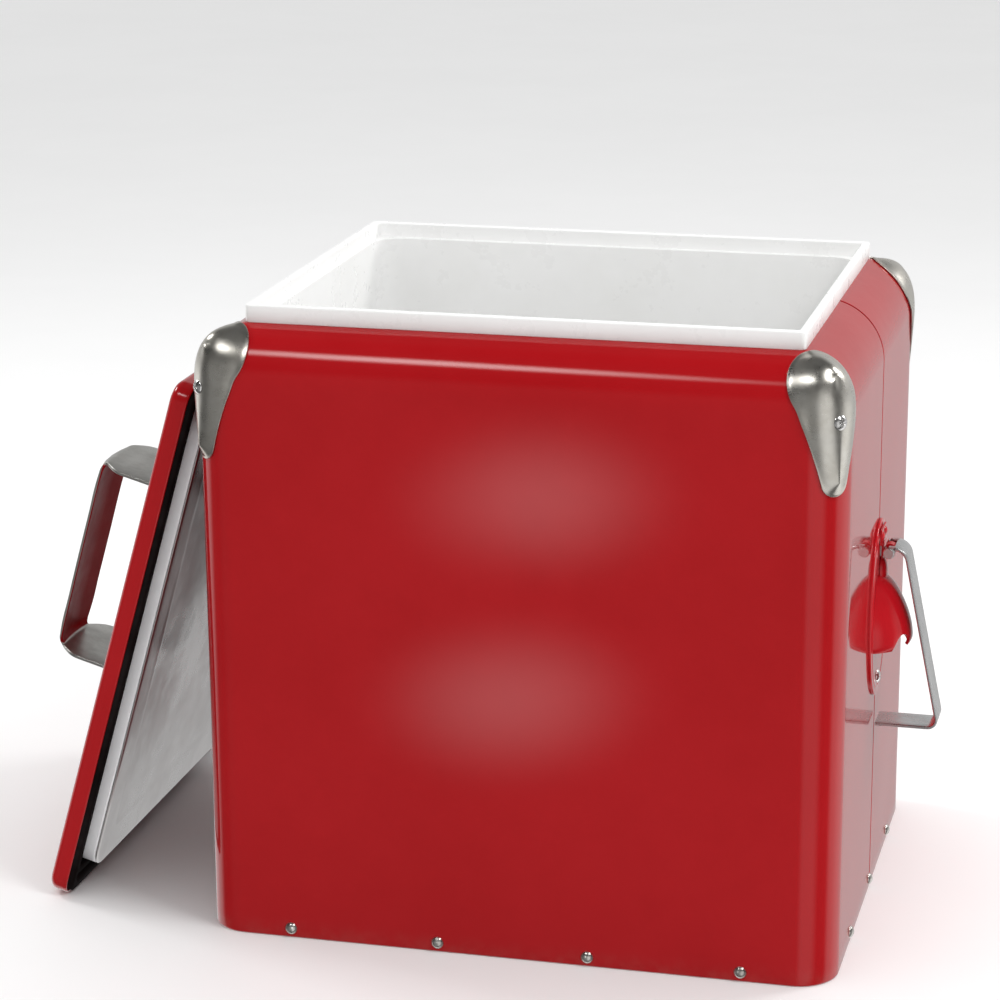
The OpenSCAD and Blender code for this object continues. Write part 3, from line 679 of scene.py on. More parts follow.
def linerGrid():
    # a profile carried round the collar's rectangle: outer face, rounded top, inner face, ledge,
    # tub wall, floor rounding and floor
    t, lip = liner["collarT"], liner["lipR"]
    arc = np.linspace(0, np.pi / 2, 6)
    inset, z = [0.3 * mm, 0], [seatZ + 0.05 * mm, seatZ + 0.5 * mm]
    inset += list(lip * (1 - np.cos(arc)))
    z += list(rimZ - lip * (1 - np.sin(arc)))
    inset += list(t - lip + lip * np.sin(arc))
    z += list(rimZ - lip * (1 - np.cos(arc)))
    ledgeZ = seatZ + 1.0 * mm
    inset += [t, t + 0.3 * mm, t + liner["step"] - 0.4 * mm, t + liner["step"]]
    z += [ledgeZ + 0.4 * mm, ledgeZ, ledgeZ, ledgeZ - 0.4 * mm]
    wall = t + liner["step"]
    depth = np.linspace(0.08, 1, 14)
    lowZ = liner["floorZ"] + liner["floorR"]
    inset += list(wall + liner["draft"] * depth)
    z += list(ledgeZ + (lowZ - ledgeZ) * depth)
    turn = np.linspace(0, np.pi / 2, 9)[1:]
    inset += list(wall + liner["draft"] + liner["floorR"] * (1 - np.cos(turn)))
    z += list(lowZ - liner["floorR"] * np.sin(turn))
    inner = wall + liner["draft"] + liner["floorR"]
    inset += [inner + d * mm for d in liner["rings"]]
    z += [liner["floorZ"]] * len(liner["rings"])
    inset, z = np.array(inset), np.array(z)
    blend = np.clip((inset - t) / liner["step"], 0, 1)
    radius = liner["collarR"] - 0.3 * inset.clip(0, t) + blend * (liner["tubR"] - 1.4 * mm)
    radius = np.where(inset > wall + 2 * mm, np.maximum(2 * mm, liner["tubR"] - (inset - wall) * 0.4), radius)
    loop = ringLoop(10, 24)
    return loopPoints(loop, collarHalfW - inset, collarHalfD - inset, radius, z)


makePiece("whiteLiner", [gridPart(linerGrid(), closed=True, caps=(False, True))], whitePlastic,
          "chest", ("liner",))
print("cooler: liner made")

# Corner guards and their screws

guard = {
    "wideR": 18 * mm, "tipR": 7 * mm, "length": 40 * mm,
    "tilt": math.radians(30),
    "drop": 5 * mm,  # centre of the wide end below the shell's corner
    "rim": 1.05 * mm,  # outer edge above the shell
    "dome": 3.1 * mm,  # rise of the wide end over its rim
    "ridge": 2.8 * mm,  # rise of the ridge at the tip
    "sheet": 0.85 * mm,
    "clear": 1.0 * mm,  # least distance from the shell
    "pressings": 34,  # smoothing steps over the shell's creases
    "screwDrop": 29.5 * mm,
}


diagonal = math.sqrt(0.5)


def distanceToShell(x, y, z):
    # the chest's form: the largest of its distances to the plan and to both side views
    def arch(u, v, halfU, topV, r):
        a, b = u - (halfU - r), v - (topV - r)
        return np.hypot(np.maximum(a, 0), np.maximum(b, 0)) + np.minimum(np.maximum(a, b), 0) - r
    plan = arch(abs(x), abs(y), halfW, halfD, chest["cornerR"])
    return np.maximum(plan, np.maximum(arch(abs(x), z, halfW, topZ, chest["sideR"]),
                                       arch(abs(y), z, halfD, topZ, chest["frontR"])))


def ontoShell(points, direction):
    # slides points back along a direction until they meet the chest's form, by halving steps
    def insideAt(far):
        p = points + direction * far[..., None]
        return distanceToShell(p[..., 0], p[..., 1], p[..., 2]) < 0
    reach, stride, halvings = 60 * mm, 0.5 * mm, 24
    near = np.full(points.shape[:-1], reach)
    for step in range(round(2 * reach / stride)):
        near = np.where(insideAt(near), near, near - stride)
    far = near + stride
    for step in range(halvings):
        middle = (near + far) / 2
        inside = insideAt(middle)
        near, far = np.where(inside, middle, near), np.where(inside, far, middle)
    return points + direction * near[..., None]


def guardSurface():
    # front right guard: rings between a spine and a teardrop outline, laid on the chest's form and
    # raised by a dome at the wide end that turns into a ridge towards the tip
    a = math.asin((guard["wideR"] - guard["tipR"]) / guard["length"])
    wide = np.linspace(-a, math.pi + a, 45)
    tip = np.linspace(math.pi + a, 2 * math.pi - a, 19)
    wideArc = np.stack([guard["wideR"] * np.cos(wide), guard["wideR"] * np.sin(wide)], axis=1)
    tipArc = np.stack([guard["tipR"] * np.cos(tip), guard["tipR"] * np.sin(tip) - guard["length"]], axis=1)
    steps = np.linspace(0, 1, 22)[1:-1, None]
    left = wideArc[-1] + (tipArc[0] - wideArc[-1]) * steps
    right = tipArc[-1] + (wideArc[0] - tipArc[-1]) * steps
    outline = np.concatenate([wideArc, left, tipArc, right])
    spineLow = -guard["length"]
    spineV = np.concatenate([np.zeros(len(wide)), spineLow * steps[:, 0], np.full(len(tip), spineLow),
                             spineLow * (1 - steps[:, 0])])
    spine = np.stack([0 * spineV, spineV], axis=1)
    ring = np.sin(np.linspace(0, 1, 16) * np.pi / 2)[:, None, None]
    flat = spine + (outline - spine) * ring
    across = np.array([diagonal, diagonal, 0])
    level = math.cos(guard["tilt"]) * diagonal
    out = np.array([level, -level, math.sin(guard["tilt"])])
    up = np.cross(out, across)
    up = up * np.sign(up[2])
    corner = np.array([halfW, -halfD, topZ])
    p = corner + flat[..., :1] * across + (flat[..., 1:] - guard["drop"]) * up
    p = ontoShell(p, out)
    place = np.unique(spineV.round(9), return_inverse=True)[1]  # both sides of the spine share it
    share = np.bincount(place)[place][:, None]
    for step in range(guard["pressings"]):  # the form's creases are pressed round
        inner = (p[:-2] + p[2:] + np.roll(p, 1, 1)[1:-1] + np.roll(p, -1, 1)[1:-1]) / 4
        p[1:-1] = p[1:-1] * 0.5 + inner * 0.5
        p[0] = np.stack([np.bincount(place, p[1, :, i])[place] for i in range(3)], axis=1) / share
    low = np.clip(-flat[..., 1] / guard["length"], 0, 1)
    r = np.broadcast_to(ring[..., 0], low.shape)
    dome = guard["dome"] * (1 - r**2.2)
    roof = guard["ridge"] * (1 - r**1.1)
    height = guard["rim"] + dome * (1 - low**1.5) + roof * low**1.5
    normal = gridNormals(p)
    normal = normal * np.sign((normal @ out))[..., None]
    normal[0] = np.stack([np.bincount(place, normal[1, :, i])[place] for i in range(3)], axis=1)
    normal[0] = unitRows(normal[0])
    p = p + normal * height[..., None]
    short = np.maximum(guard["clear"] - distanceToShell(p[..., 0], p[..., 1], p[..., 2]), 0)
    return p + out * 1.2 * short[..., None]


def mirrored(points, sx, sy):
    return points * np.array([sx, sy, 1])


guardPoints = guardSurface()
corners = {"front_right": (1, 1), "front_left": (-1, 1), "rear_right": (1, -1), "rear_left": (-1, -1)}
for corner, (sx, sy) in corners.items():
    cap = makePiece("guard_" + corner + "_cap", [gridPart(mirrored(guardPoints, sx, sy), closed=True)],
                    steel["guardSteel"], "chest", ("guard_" + corner,), weld=0.25 * mm)
    thicken(cap, guard["sheet"], bevel=0.2 * mm, subdivide=1)

screws = {"headR": 3.6 * mm, "headH": 1.7 * mm, "cross": 1.1 * mm}
screwZ = topZ - guard["screwDrop"]
screwOut = chest["cornerR"] + guard["rim"] + guard["dome"] * 0.85 - 0.2 * mm
headParts = []
for sx, sy in corners.values():
    fromCorner = screwOut * diagonal - chest["cornerR"]
    place = np.array([halfW + fromCorner, -halfD - fromCorner, screwZ])
    m = facing(mirrored(place, sx, sy), (sx * diagonal, -sy * diagonal, 0.12), up=(0.2, 0, 1))
    head = domeHead(screws["headR"], screws["headH"], screws["cross"], rings=16, spokes=56)
    headParts.append(solidPart(placed(head, m)))
makePiece("guardScrewHeads", headParts, steel["brightSteel"], "chest", ("guard_screws",),
          sharp=50)
print("cooler: guards made")

# Base

rivet = {"headR": 3.1 * mm, "headH": 1.8 * mm}
rivetZ = (boxOf("base_rivets")[0][2] + boxOf("base_rivets")[1][2]) / 2


def solidMiddles(values, gap):
    # middles of the groups that a gap parts along one axis
    values = np.sort(values)
    groups = np.split(values, np.where(np.diff(values) > gap)[0] + 1)
    return [(g.min() + g.max()) / 2 for g in groups]


def rivetPlaces():
    # centres of the heads round the base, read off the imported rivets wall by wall
    points = nodePoints("base_rivets")
    places = []
    for axis, half in ((0, halfW), (1, halfD)):
        for sign in (1, -1):
            outer = points[points[:, axis] * sign > half + 0.2 * mm]
            for middle in solidMiddles(outer[:, 1 - axis], 8 * mm):
                place, outward = np.zeros(3), np.zeros(3)
                place[axis], place[1 - axis], place[2] = sign * half, middle, rivetZ
                outward[axis] = sign
                places.append((place, outward))
    return places


rivetParts = []
for place, outward in rivetPlaces():
    head = domeHead(rivet["headR"], rivet["headH"], rings=7, spokes=28)
    rivetParts.append(solidPart(placed(head, facing(place, outward))))
makePiece("baseRivetHeads", rivetParts, steel["rivetSteel"], "chest", ("base_rivets",),
          sharp=60)
softCopy("basePan", "base_pan", steel["zincSheet"], "chest", 0.3 * mm)
print("cooler: base made,", len(rivetParts), "rivets")

# Side plates, opener, hinges and swing handles

plateLow, plateHigh = boxOf("opener_plate")
handleLow, handleHigh = boxOf("right_handle")
hinge = next(j for j in frame["joints"] if j["name"] == "right_handle_swing")["pos_m"]
plate = {
    "thick": plateHigh[0] - plateLow[0],
    "edgeR": 0.7 * mm,
    "bead": 0.35 * mm,  # height of the pressed line inside the edge
    "beadIn": 4.5 * mm,
}


def plateGrid(sx):
    # an ellipse in rings from its middle: flat, with a pressed bead near the edge and a round rim
    centreZ = (plateLow[2] + plateHigh[2]) / 2
    a, b = (plateHigh[1] - plateLow[1]) / 2, (plateHigh[2] - plateLow[2]) / 2
    arc = np.linspace(0, np.pi / 2, 5)
    inset = np.concatenate([np.linspace(0.999, 0.35, 6) * a, np.linspace(9, 1.2, 22) * mm,
                            plate["edgeR"] * (1 - np.sin(arc)), [0, 0.2 * mm]])
    thick = plate["thick"]
    lift = np.concatenate([np.full(28, thick), thick - plate["edgeR"] * (1 - np.cos(arc)), [0.3 * mm, 0]])
    lift = lift + plate["bead"] * np.exp(-(((inset - plate["beadIn"]) / (1.1 * mm)) ** 2)) - plate["bead"]
    lift = np.maximum(lift, 0)
    angle = np.linspace(0, 2 * np.pi, 96, endpoint=False)
    y = (a - inset)[:, None] * np.cos(angle)
    z = centreZ + np.maximum(b - inset, 0.02 * mm)[:, None] * np.sin(angle)
    x = (halfW + lift)[:, None] + 0 * angle
    return mirrored(np.stack([x, y, z], axis=-1), sx, 1)


opener = {
    "axisIn": 9 * mm,  # the hood turns about a line this deep in the wall
    "out": 18 * mm,
    "bulgeZ": 3.5 * mm,  # height of the widest line above the rim
    "taper": 0.74,  # share of the width lost towards the top
    "curl": 1.3 * mm,  # how far the rim's prong curls back in
    "arch": 7.5 * mm,  # height of the two arches in the rim
    "archAt": math.radians(27),
    "archWide": math.radians(15),
    "sheet": 1.5 * mm,
    "neckWide": 5.2 * mm, "neckOut": 3.4 * mm,  # half width and height of the boss above the hood
}
hoodLow, hoodHigh = boxOf("bottle_opener")


def hoodOut(z):
    # how far the hood stands out of its axis at a height: it flares down to its widest line, curls
    # in a little at the rim, and closes like a dome at the top
    rim, top = hoodLow[2], hoodHigh[2]
    above = np.clip((z - rim - opener["bulgeZ"]) / (top - rim - opener["bulgeZ"]), 0, 1)
    below = np.clip((rim + opener["bulgeZ"] - z) / opener["bulgeZ"], 0, 1)
    crown = np.clip((above - 0.62) / 0.38, 0, 1)
    flare = opener["out"] * (1 - opener["taper"] * above**1.7) * np.sqrt(1 - 0.96 * crown**4)
    return opener["axisIn"] + flare - opener["curl"] * below**2


def hoodGrid():
    # columns round the hood's axis, rows from its scalloped rim up to its top
    angle = np.radians(np.linspace(-74, 74, 149))[None, :]
    off = np.clip(abs(abs(angle) - opener["archAt"]) / opener["archWide"], 0, 1)
    rim = hoodLow[2] + opener["arch"] * np.sqrt(1 - off**2) ** 1.2
    t = np.linspace(0, 1, 40)[:, None]
    z = rim + (hoodHigh[2] - rim) * t
    r = hoodOut(z)
    wall = halfW + plate["thick"] - 0.3 * mm
    x = halfW - opener["axisIn"] + r * np.cos(angle)
    y = r * np.sin(angle)
    turn = np.arccos(np.clip((wall - halfW + opener["axisIn"]) / r, -1, 1))
    outside = abs(angle) > turn
    x = np.where(outside, wall, x)
    y = np.where(outside, np.sign(angle) * r * np.sin(turn) + (angle - np.sign(angle) * turn) * 2 * mm, y)
    return np.stack([x, y, z + 0 * angle], axis=-1)


def neckGrid():
    # the boss between the hood and the hinge: half an egg, longer than wide
    up = np.linspace(-1, 1, 25)[:, None]
    turn = np.linspace(0, np.pi, 21)[None, :]
    lowZ, topOfNeck = hoodHigh[2] - 12 * mm, hinge[2] - 4.2 * mm
    wide = np.sqrt(np.clip(1 - abs(up) ** 3, 0, 1))
    y = opener["neckWide"] * wide * np.cos(turn)
    x = halfW + plate["thick"] - 0.2 * mm + opener["neckOut"] * wide * np.sin(turn)
    z = (lowZ + topOfNeck) / 2 + (topOfNeck - lowZ) / 2 * up + 0 * turn
    return np.stack([x, y, z + 0 * y], axis=-1)


for label, sx in (("opener", 1), ("left", -1)):
    makePiece(label + "WallPlate", [solidPart(plateGrid(sx))], openerEnamel,
              "chest", (label + "_plate",), sharp=50)
hood = makePiece("openerHood", [gridPart(hoodGrid())], openerEnamel, "chest",
                 ("bottle_opener",), weld=0.02 * mm)
thicken(hood, opener["sheet"], bevel=0.35 * mm)
makePiece("openerNeck", [gridPart(neckGrid())], openerEnamel, "chest")
print("cooler: opener made")

strap = {
    "thick": 1.6 * mm, "edgeR": 0.5 * mm,
    "armOut": 14 * mm,  # top bend from the wall
    "topR": 7 * mm, "lowR": 4.2 * mm,
    "tab": 3.6 * mm,  # width of each rolled end
    "eyeR": 3.0 * mm,  # outer radius of the rolled ends
}


def handleParts(sx):
    # strap from the two rolled ends over the arm and down the slanting grip to the lower leg
    width = handleHigh[1] - handleLow[1]
    t = strap["thick"]
    hx, hz = hinge[0], hinge[2]
    armZ = hz + strap["eyeR"] - t / 2
    lowZ = handleLow[2] + t / 2
    outX = handleHigh[0] - t / 2
    path = bentPath([(hx + 3.2 * mm, armZ), (halfW + strap["armOut"], armZ), (outX, lowZ),
                     (handleBackX(), lowZ)], [strap["topR"], strap["lowR"]], 14)
    path = evenPath(path, 120)
    path3 = np.stack([path[:, 0], 0 * path[:, 0], path[:, 1]], axis=1)
    grip = sweep(path3, (0, 1, 0), np.full(len(path3), width), t, strap["edgeR"])
    parts = [solidPart(mirrored(grip, sx, 1))]
    turn = np.linspace(np.pi / 2, -np.pi * 1.32, 34)
    r = strap["eyeR"] - t / 2
    curl = np.stack([hx + r * np.cos(turn), 0 * turn, hz + r * np.sin(turn)], axis=1)
    lead = np.array([[hx + 3.3 * mm, 0, armZ], [hx + 1.6 * mm, 0, armZ]])
    curl = np.concatenate([lead, curl])
    for side in (-1, 1):
        offset = np.array([0, side * (width - strap["tab"]) / 2, 0])
        tab = sweep(curl + offset, (0, 1, 0), np.full(len(curl), strap["tab"]), t, strap["edgeR"])
        parts.append(solidPart(mirrored(tab, sx, 1)))
    return parts


def handleBackX():
    points = nodePoints("right_handle")
    low = points[points[:, 2] < handleLow[2] + 1 * mm]
    return low[:, 0].min() + 0.1 * mm


for label, sx in (("right", 1), ("left", -1)):
    makePiece(label + "SwingHandle", handleParts(sx), steel["handleSteel"], label + "_swing_handle",
              (label + "_handle",), sharp=45)
    for part, partNode, coat, slotName in (("HingeBracket", "_hinge_bracket", openerEnamel, "opener_paint"),
                                           ("HingePin", "_hinge_pin", steel["brightSteel"], "screw_chrome")):
        softCopy(label + part, label + partNode, coat, "chest", 0.2 * mm)


def headsOn(sx, places, radius, height, cross, lift):
    # round heads on a side wall, standing lift above it
    parts = []
    for y, z in places:
        head = domeHead(radius, height, cross, rings=14, spokes=48)
        m = facing((sx * (halfW + lift), y, z), (sx, 0, 0), up=(0, 0.3, 1))
        parts.append(solidPart(placed(head, m)))
    return parts


screwHeights = solidMiddles(nodePoints("opener_screws")[:, 2], 4 * mm)
rivetSides = solidMiddles(nodePoints("right_hinge_rivets")[:, 1], 1 * mm)
leafRivet = {"headR": 2.3 * mm, "headH": 1.0 * mm, "leaf": 1.0 * mm}  # leaf: the hinge sheet under it
leafRivetZ = (boxOf("right_hinge_rivets")[0][2] + boxOf("right_hinge_rivets")[1][2]) / 2
for label, sx, screwNode in (("right", 1, "opener_screws"), ("left", -1, "left_plate_screws")):
    makePiece(label + "PlateScrewHeads",
              headsOn(sx, [(0, z) for z in screwHeights], screws["headR"], screws["headH"],
                      screws["cross"], plate["thick"] - 0.3 * mm),
              steel["brightSteel"], "chest", (screwNode,), sharp=50)
    makePiece(label + "HingeRivetHeads",
              headsOn(sx, [(y, leafRivetZ) for y in rivetSides], leafRivet["headR"], leafRivet["headH"],
                      0, plate["thick"] + leafRivet["leaf"]),
              openerEnamel, "chest", (label + "_hinge_rivets",), sharp=50)
print("cooler: handles made")

# Loose lid

panLow, panHigh = boxOf("lid_pan")
lidHalfD = (panHigh[1] - panLow[1]) / 2
lidHalfW = lidHalfD - collarHalfD + collarHalfW  # it reaches as far past the collar on every side
lidMiddleY = (panHigh[1] + panLow[1]) / 2
lidX = panHigh[0] - lidHalfW * math.sin(lean)
lidFrame = np.eye(4)
lidFrame[:3, 0] = (math.sin(lean), 0, math.cos(lean))
lidFrame[:3, 1] = (0, 1, 0)
lidFrame[:3, 2] = (-math.cos(lean), 0, math.sin(lean))
lidFrame[:3, 3] = (lidX, lidMiddleY, lidHalfW * math.cos(lean))
toLid = np.linalg.inv(lidFrame)


def lidBox(node):
    # a node's lowest and highest corners in the lid's own closed frame
    p = placed(nodePoints(node), toLid)
    return p.min(0), p.max(0)


skirtH = lidBox("lid_pan")[1][2]
plugLow = lidBox("lid_inner_pan")[0]
sealLow = lidBox("lid_seal")[0]
plugPoints = placed(nodePoints("lid_inner_pan"), toLid)
plugOnly = plugPoints[plugPoints[:, 2] < plugLow[2] + 0.5 * mm]
plugHalfW, plugHalfD = plugOnly[:, 0].max(), plugOnly[:, 1].max()
lid = {
    "cornerR": 10 * mm, "edgeR": 4 * mm, "sheet": 1.0 * mm, "hem": 0.7 * mm,
    "crown": 0.8 * mm,  # the flat top's rise at its middle
    "plugR": 12.5 * mm, "plugEdgeR": 1.8 * mm, "plugSheet": 0.8 * mm,
    "panel": 0.3 * mm,  # depth of the pressed middle of the inner pan
    "panelIn": 17 * mm,
}


def lidPanGrid():
    # outer face of the lid: a hem, the skirt, the round edge, and a crowned top closed by rings
    hem = np.linspace(0, np.pi / 2, 4)[:-1]
    arc = np.linspace(0, np.pi / 2, 10)
    inset = np.concatenate([lid["hem"] * (1 - np.sin(hem)), [0, 0, 0], lid["edgeR"] * (1 - np.cos(arc)),
                            np.array([10, 22, 38, 58, 80, 100, 112]) * mm])
    skirt = np.linspace(lid["hem"], skirtH - lid["edgeR"] - 1 * mm, 3)
    z = np.concatenate([lid["hem"] * (1 - np.cos(hem)), skirt,
                        skirtH - lid["edgeR"] * (1 - np.sin(arc)), np.full(7, skirtH)])
    radius = np.maximum(lid["cornerR"] - inset, 0.8 * mm)
    p = loopPoints(ringLoop(12, 24), lidHalfW - inset, lidHalfD - inset, radius, z)
    flat = inset > lid["edgeR"]
    drop = lid["crown"] * ((p[..., 0] / lidHalfW) ** 2 + (p[..., 1] / lidHalfD) ** 2) / 2
    p[..., 2] -= np.where(flat[:, None], drop, 0) * np.clip((inset[:, None] - lid["edgeR"]) / (6 * mm), 0, 1)
    return placed(p, lidFrame)


def sealGrid():
    # black seal: a round lip near the skirt, a shallow groove, and a lower lip at the plug
    outer, inner = lid["sheet"] + 0.15 * mm, lidHalfW - plugHalfW - 0.15 * mm
    t = np.linspace(0, 1, 26)
    inset = outer + (inner - outer) * t
    lip = np.sqrt(np.clip(1 - ((t - 0.3) / 0.3) ** 2, 0, 1))
    second = 0.45 * np.sqrt(np.clip(1 - ((t - 0.8) / 0.2) ** 2, 0, 1))
    z = sealLow[2] * np.maximum(lip, second) - 0.2 * mm
    z = np.maximum(z, sealLow[2])
    z[0] = z[-1] = 2.5 * mm
    radius = np.maximum(lid["cornerR"] - inset, 2 * mm)
    return placed(loopPoints(ringLoop(12, 24), lidHalfW - inset, lidHalfD - inset, radius, z), lidFrame)


def innerPanGrid():
    # inner pan: a plug with a round edge and a shallow pressed middle, closed by rings
    arc = np.linspace(0, np.pi / 2, 8)
    ramp = np.linspace(0, 1, 8)
    inset = np.concatenate([[0, 0, 0], lid["plugEdgeR"] * (1 - np.cos(arc)), [6 * mm, 12 * mm],
                            lid["panelIn"] + 5 * mm * ramp, np.array([40, 56, 72, 88]) * mm])
    step = lid["panel"] * (ramp * ramp * (3 - 2 * ramp))
    z = np.concatenate([np.linspace(3 * mm, plugLow[2] + lid["plugEdgeR"] + 0.3 * mm, 3),
                        plugLow[2] + lid["plugEdgeR"] * (1 - np.sin(arc)), [plugLow[2]] * 2,
                        plugLow[2] + step, [plugLow[2] + lid["panel"]] * 4])
    radius = np.maximum(lid["plugR"] - inset * 0.45, 2 * mm)
    p = loopPoints(ringLoop(12, 30), plugHalfW - inset, plugHalfD - inset, radius, z)
    middle = inset > lid["panelIn"]
    ripple = 0.08 * mm * (np.sin(55 * p[..., 0] + 20 * p[..., 1]) + np.sin(48 * p[..., 1] + 2))
    p[..., 2] += np.where(middle[:, None], ripple, 0)
    return placed(p, lidFrame)


lidPan = makePiece("lidPan", [gridPart(lidPanGrid(), closed=True, caps=(False, True))], redEnamel, "lid",
                   ("lid_pan",))
thicken(lidPan, lid["sheet"] * 0.9, bevel=0.2 * mm)
makePiece("lidSeal", [gridPart(sealGrid(), closed=True)], blackRubber, "lid",
          ("lid_seal",), sharp=60)
panGrid = innerPanGrid()
edgeRows = 7  # rows of its wall and round edge, which are brighter than the rest
rim = makePiece("lidInnerPanRim", [gridPart(panGrid[:edgeRows], closed=True)], steel["rimSteel"], "lid",
                ("lid_inner_pan",))
thicken(rim, lid["plugSheet"] * 0.9)
innerPan = makePiece("lidInnerPan", [gridPart(panGrid[edgeRows - 1:], closed=True, caps=(False, True))],
                     steel["lidSteel"], "lid")
thicken(innerPan, lid["plugSheet"] * 0.9)
print("cooler: lid made")

# Lid handle

gripLow, gripHigh = lidBox("lid_handle")
lidGrip = {
    "thick": 1.8 * mm, "edgeR": 0.6 * mm, "bendR": 6 * mm,
    "wide": 41 * mm, "waist": 33 * mm, "foot": gripHigh[1] - gripLow[1],
    "flare": 2.5 * mm,  # extra width at the grip's two shoulders
    "neckZ": 11 * mm,  # the legs narrow over this height below the bends
    "footLength": 19 * mm,
    "dish": 2.4 * mm,  # the grip's hollow across its width
    "rivetR": 4 * mm, "rivetH": 1.6 * mm,
}


def lidHandleGrid():
    # strap from foot to foot: wide feet, legs that taper to the bends, and a grip that swells
    t = lidGrip["thick"]
    half = gripHigh[0] - lidGrip["footLength"]
    top, foot = gripHigh[2] - t / 2, skirtH + t / 2
    end = gripHigh[0]
    r = lidGrip["bendR"] - t / 2
    path = bentPath([(-end, foot), (-half, foot), (-half, top), (half, top), (half, foot), (end, foot)],
                    [r] * 4, 12)
    path = evenPath(path, 260)
    x, z = path[:, 0], path[:, 1]
    rise = np.clip((z - foot) / (top - foot), 0, 1)
    neck = lidGrip["neckZ"] / (top - foot)
    narrow = np.clip((rise - 0.94 + neck) / neck, 0, 1)
    leg = lidGrip["foot"] - (lidGrip["foot"] - lidGrip["waist"]) * narrow**1.6
    swell = np.clip(np.cos(np.pi / 2 * np.clip(abs(x) / half, 0, 1)), 0, 1) ** 0.35
    shoulder = np.exp(-(((abs(x) / half) - 0.72) / 0.16) ** 2)
    grip = lidGrip["waist"] + (lidGrip["wide"] - lidGrip["waist"]) * swell + lidGrip["flare"] * shoulder
    width = np.where(rise > 0.97, grip, leg)
    kernel = np.hanning(11)
    width = np.convolve(np.pad(width, 5, mode="edge"), kernel / kernel.sum(), mode="valid")
    flat = np.clip((abs(x) - half - 4 * mm) / (end - half - 4 * mm), 0, 1)
    width = width - 2 * 8 * mm * (1 - np.sqrt(1 - flat**4)) * (rise < 0.02)
    path3 = np.stack([x, 0 * x, z], axis=1)
    p = sweep(path3, (0, 1, 0), width, t, lidGrip["edgeR"], steps=5)
    aloft = np.clip((rise[:, None] - 0.9) / 0.1, 0, 1)
    p[..., 2] -= (p[..., 1] / (width[:, None] / 2)) ** 2 * lidGrip["dish"] * aloft
    return placed(p, lidFrame)


lidStrap = makePiece("lidGripStrap", [solidPart(lidHandleGrid())], steel["gripSteel"],
                     "lid", ("lid_handle",), sharp=45)


def markLidReflection(piece):
    # marks the grip's inner face: points of the strap nearer the lid than its middle line
    p = placed(meshPoints(piece.data), toLid)
    rise = (gripHigh[2] - p[:, 2]) / lidGrip["thick"]
    dish = lidGrip["dish"] / lidGrip["thick"] * (p[:, 1] / (lidGrip["wide"] / 2)) ** 2
    inner = np.clip((rise - dish - 0.6) / 0.1, 0, 1) * (p[:, 2] > skirtH + 6 * mm)
    inner *= abs(p[:, 0]) < gripHigh[0] - lidGrip["footLength"] - lidGrip["thick"] * 0.7
    # the mark carries the painted reflection of the red lid
    markPoints(piece, "inner", inner)


markLidReflection(lidStrap)


def lidRivetParts():
    # domes on the feet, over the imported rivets
    p = placed(nodePoints("lid_handle_rivets"), toLid)
    parts = []
    for sx in (-1, 1):
        for sy in (-1, 1):
            own = p[(p[:, 0] * sx > 0) & (p[:, 1] * sy > 0)]
            centre = (own.min(0) + own.max(0)) / 2
            head = domeHead(lidGrip["rivetR"], lidGrip["rivetH"], rings=9, spokes=36)
            head = head + np.array([centre[0], centre[1], skirtH + lidGrip["thick"]])
            parts.append(solidPart(placed(head, lidFrame)))
    return parts


makePiece("lidRivetHeads", lidRivetParts(), steel["rivetSteel"], "lid", ("lid_handle_rivets",),
          sharp=60)

# Inside: CAD nodes that stay as they are

for node, material, slotName in (("body_insulation", creamFoam, "foam"),
                                 ("lid_insulation", creamFoam, "foam"),
                                 ("lid_backing_plates", steel["zincSheet"], "zinc_sheet")):
    piece = frame["nodes"][node]
    piece.data.materials.clear()
    piece.data.materials.append(material)
print("cooler: all pieces made")

# Stage, light and camera

room = {  # brightness of what is mirrored
    "gap": 0.10,  # everywhere
    "side": 1.05, "wallShare": 0.45,  # table beside the chest, and the wall's share of it
    "back": 0.48,
    "table": 0.16, "window": 0.85,  # in front, on the left and on the right
    "above": 0.15,  # share left towards the ceiling
}
stage = {
    "floor": (0.90, 0.90, 0.90),
    "sky": 0.92,
    "cameraAt": (0.3334, -1.4667, 0.6203), "lookAt": (-0.0198, -0.0673, 0.2116),
    "roll": math.radians(-0.3), "lens": 112.1,
}


def floorPlane():
    # a wide pale floor, far larger than the view
    u = np.linspace(-8, 8, 9)
    x, y = np.meshgrid(u, u)
    points, faces = gridPart(np.stack([x, y, 0 * x], axis=-1))
    mesh = bpy.data.meshes.new("floor")
    mesh.from_pydata(points.tolist(), [], faces)
    material, tree, shader = finish("paleFloor", {"Roughness": 0.55, "Specular IOR Level": 0.3})
    place = objectVector(tree)
    cloud = clouds(tree, place, 3.0)
    pale = stage["floor"]
    link(tree, blendColours(tree, cloud, tuple(0.985 * v for v in pale), pale), shader.inputs["Base Color"])
    mesh.materials.append(material)
    floor = bpy.data.objects.new("floor", mesh)
    floor.visible_glossy = False
    bpy.context.scene.collection.objects.link(floor)


def areaLight(name, place, aim, size, power):
    data = bpy.data.lights.new(name, "AREA")
    data.shape, data.size, data.energy = "SQUARE", size, power
    lamp = bpy.data.objects.new(name, data)
    lamp.location = place
    lamp.rotation_euler = (Vector(aim) - Vector(place)).to_track_quat("-Z", "Y").to_euler()
    bpy.context.scene.collection.objects.link(lamp)


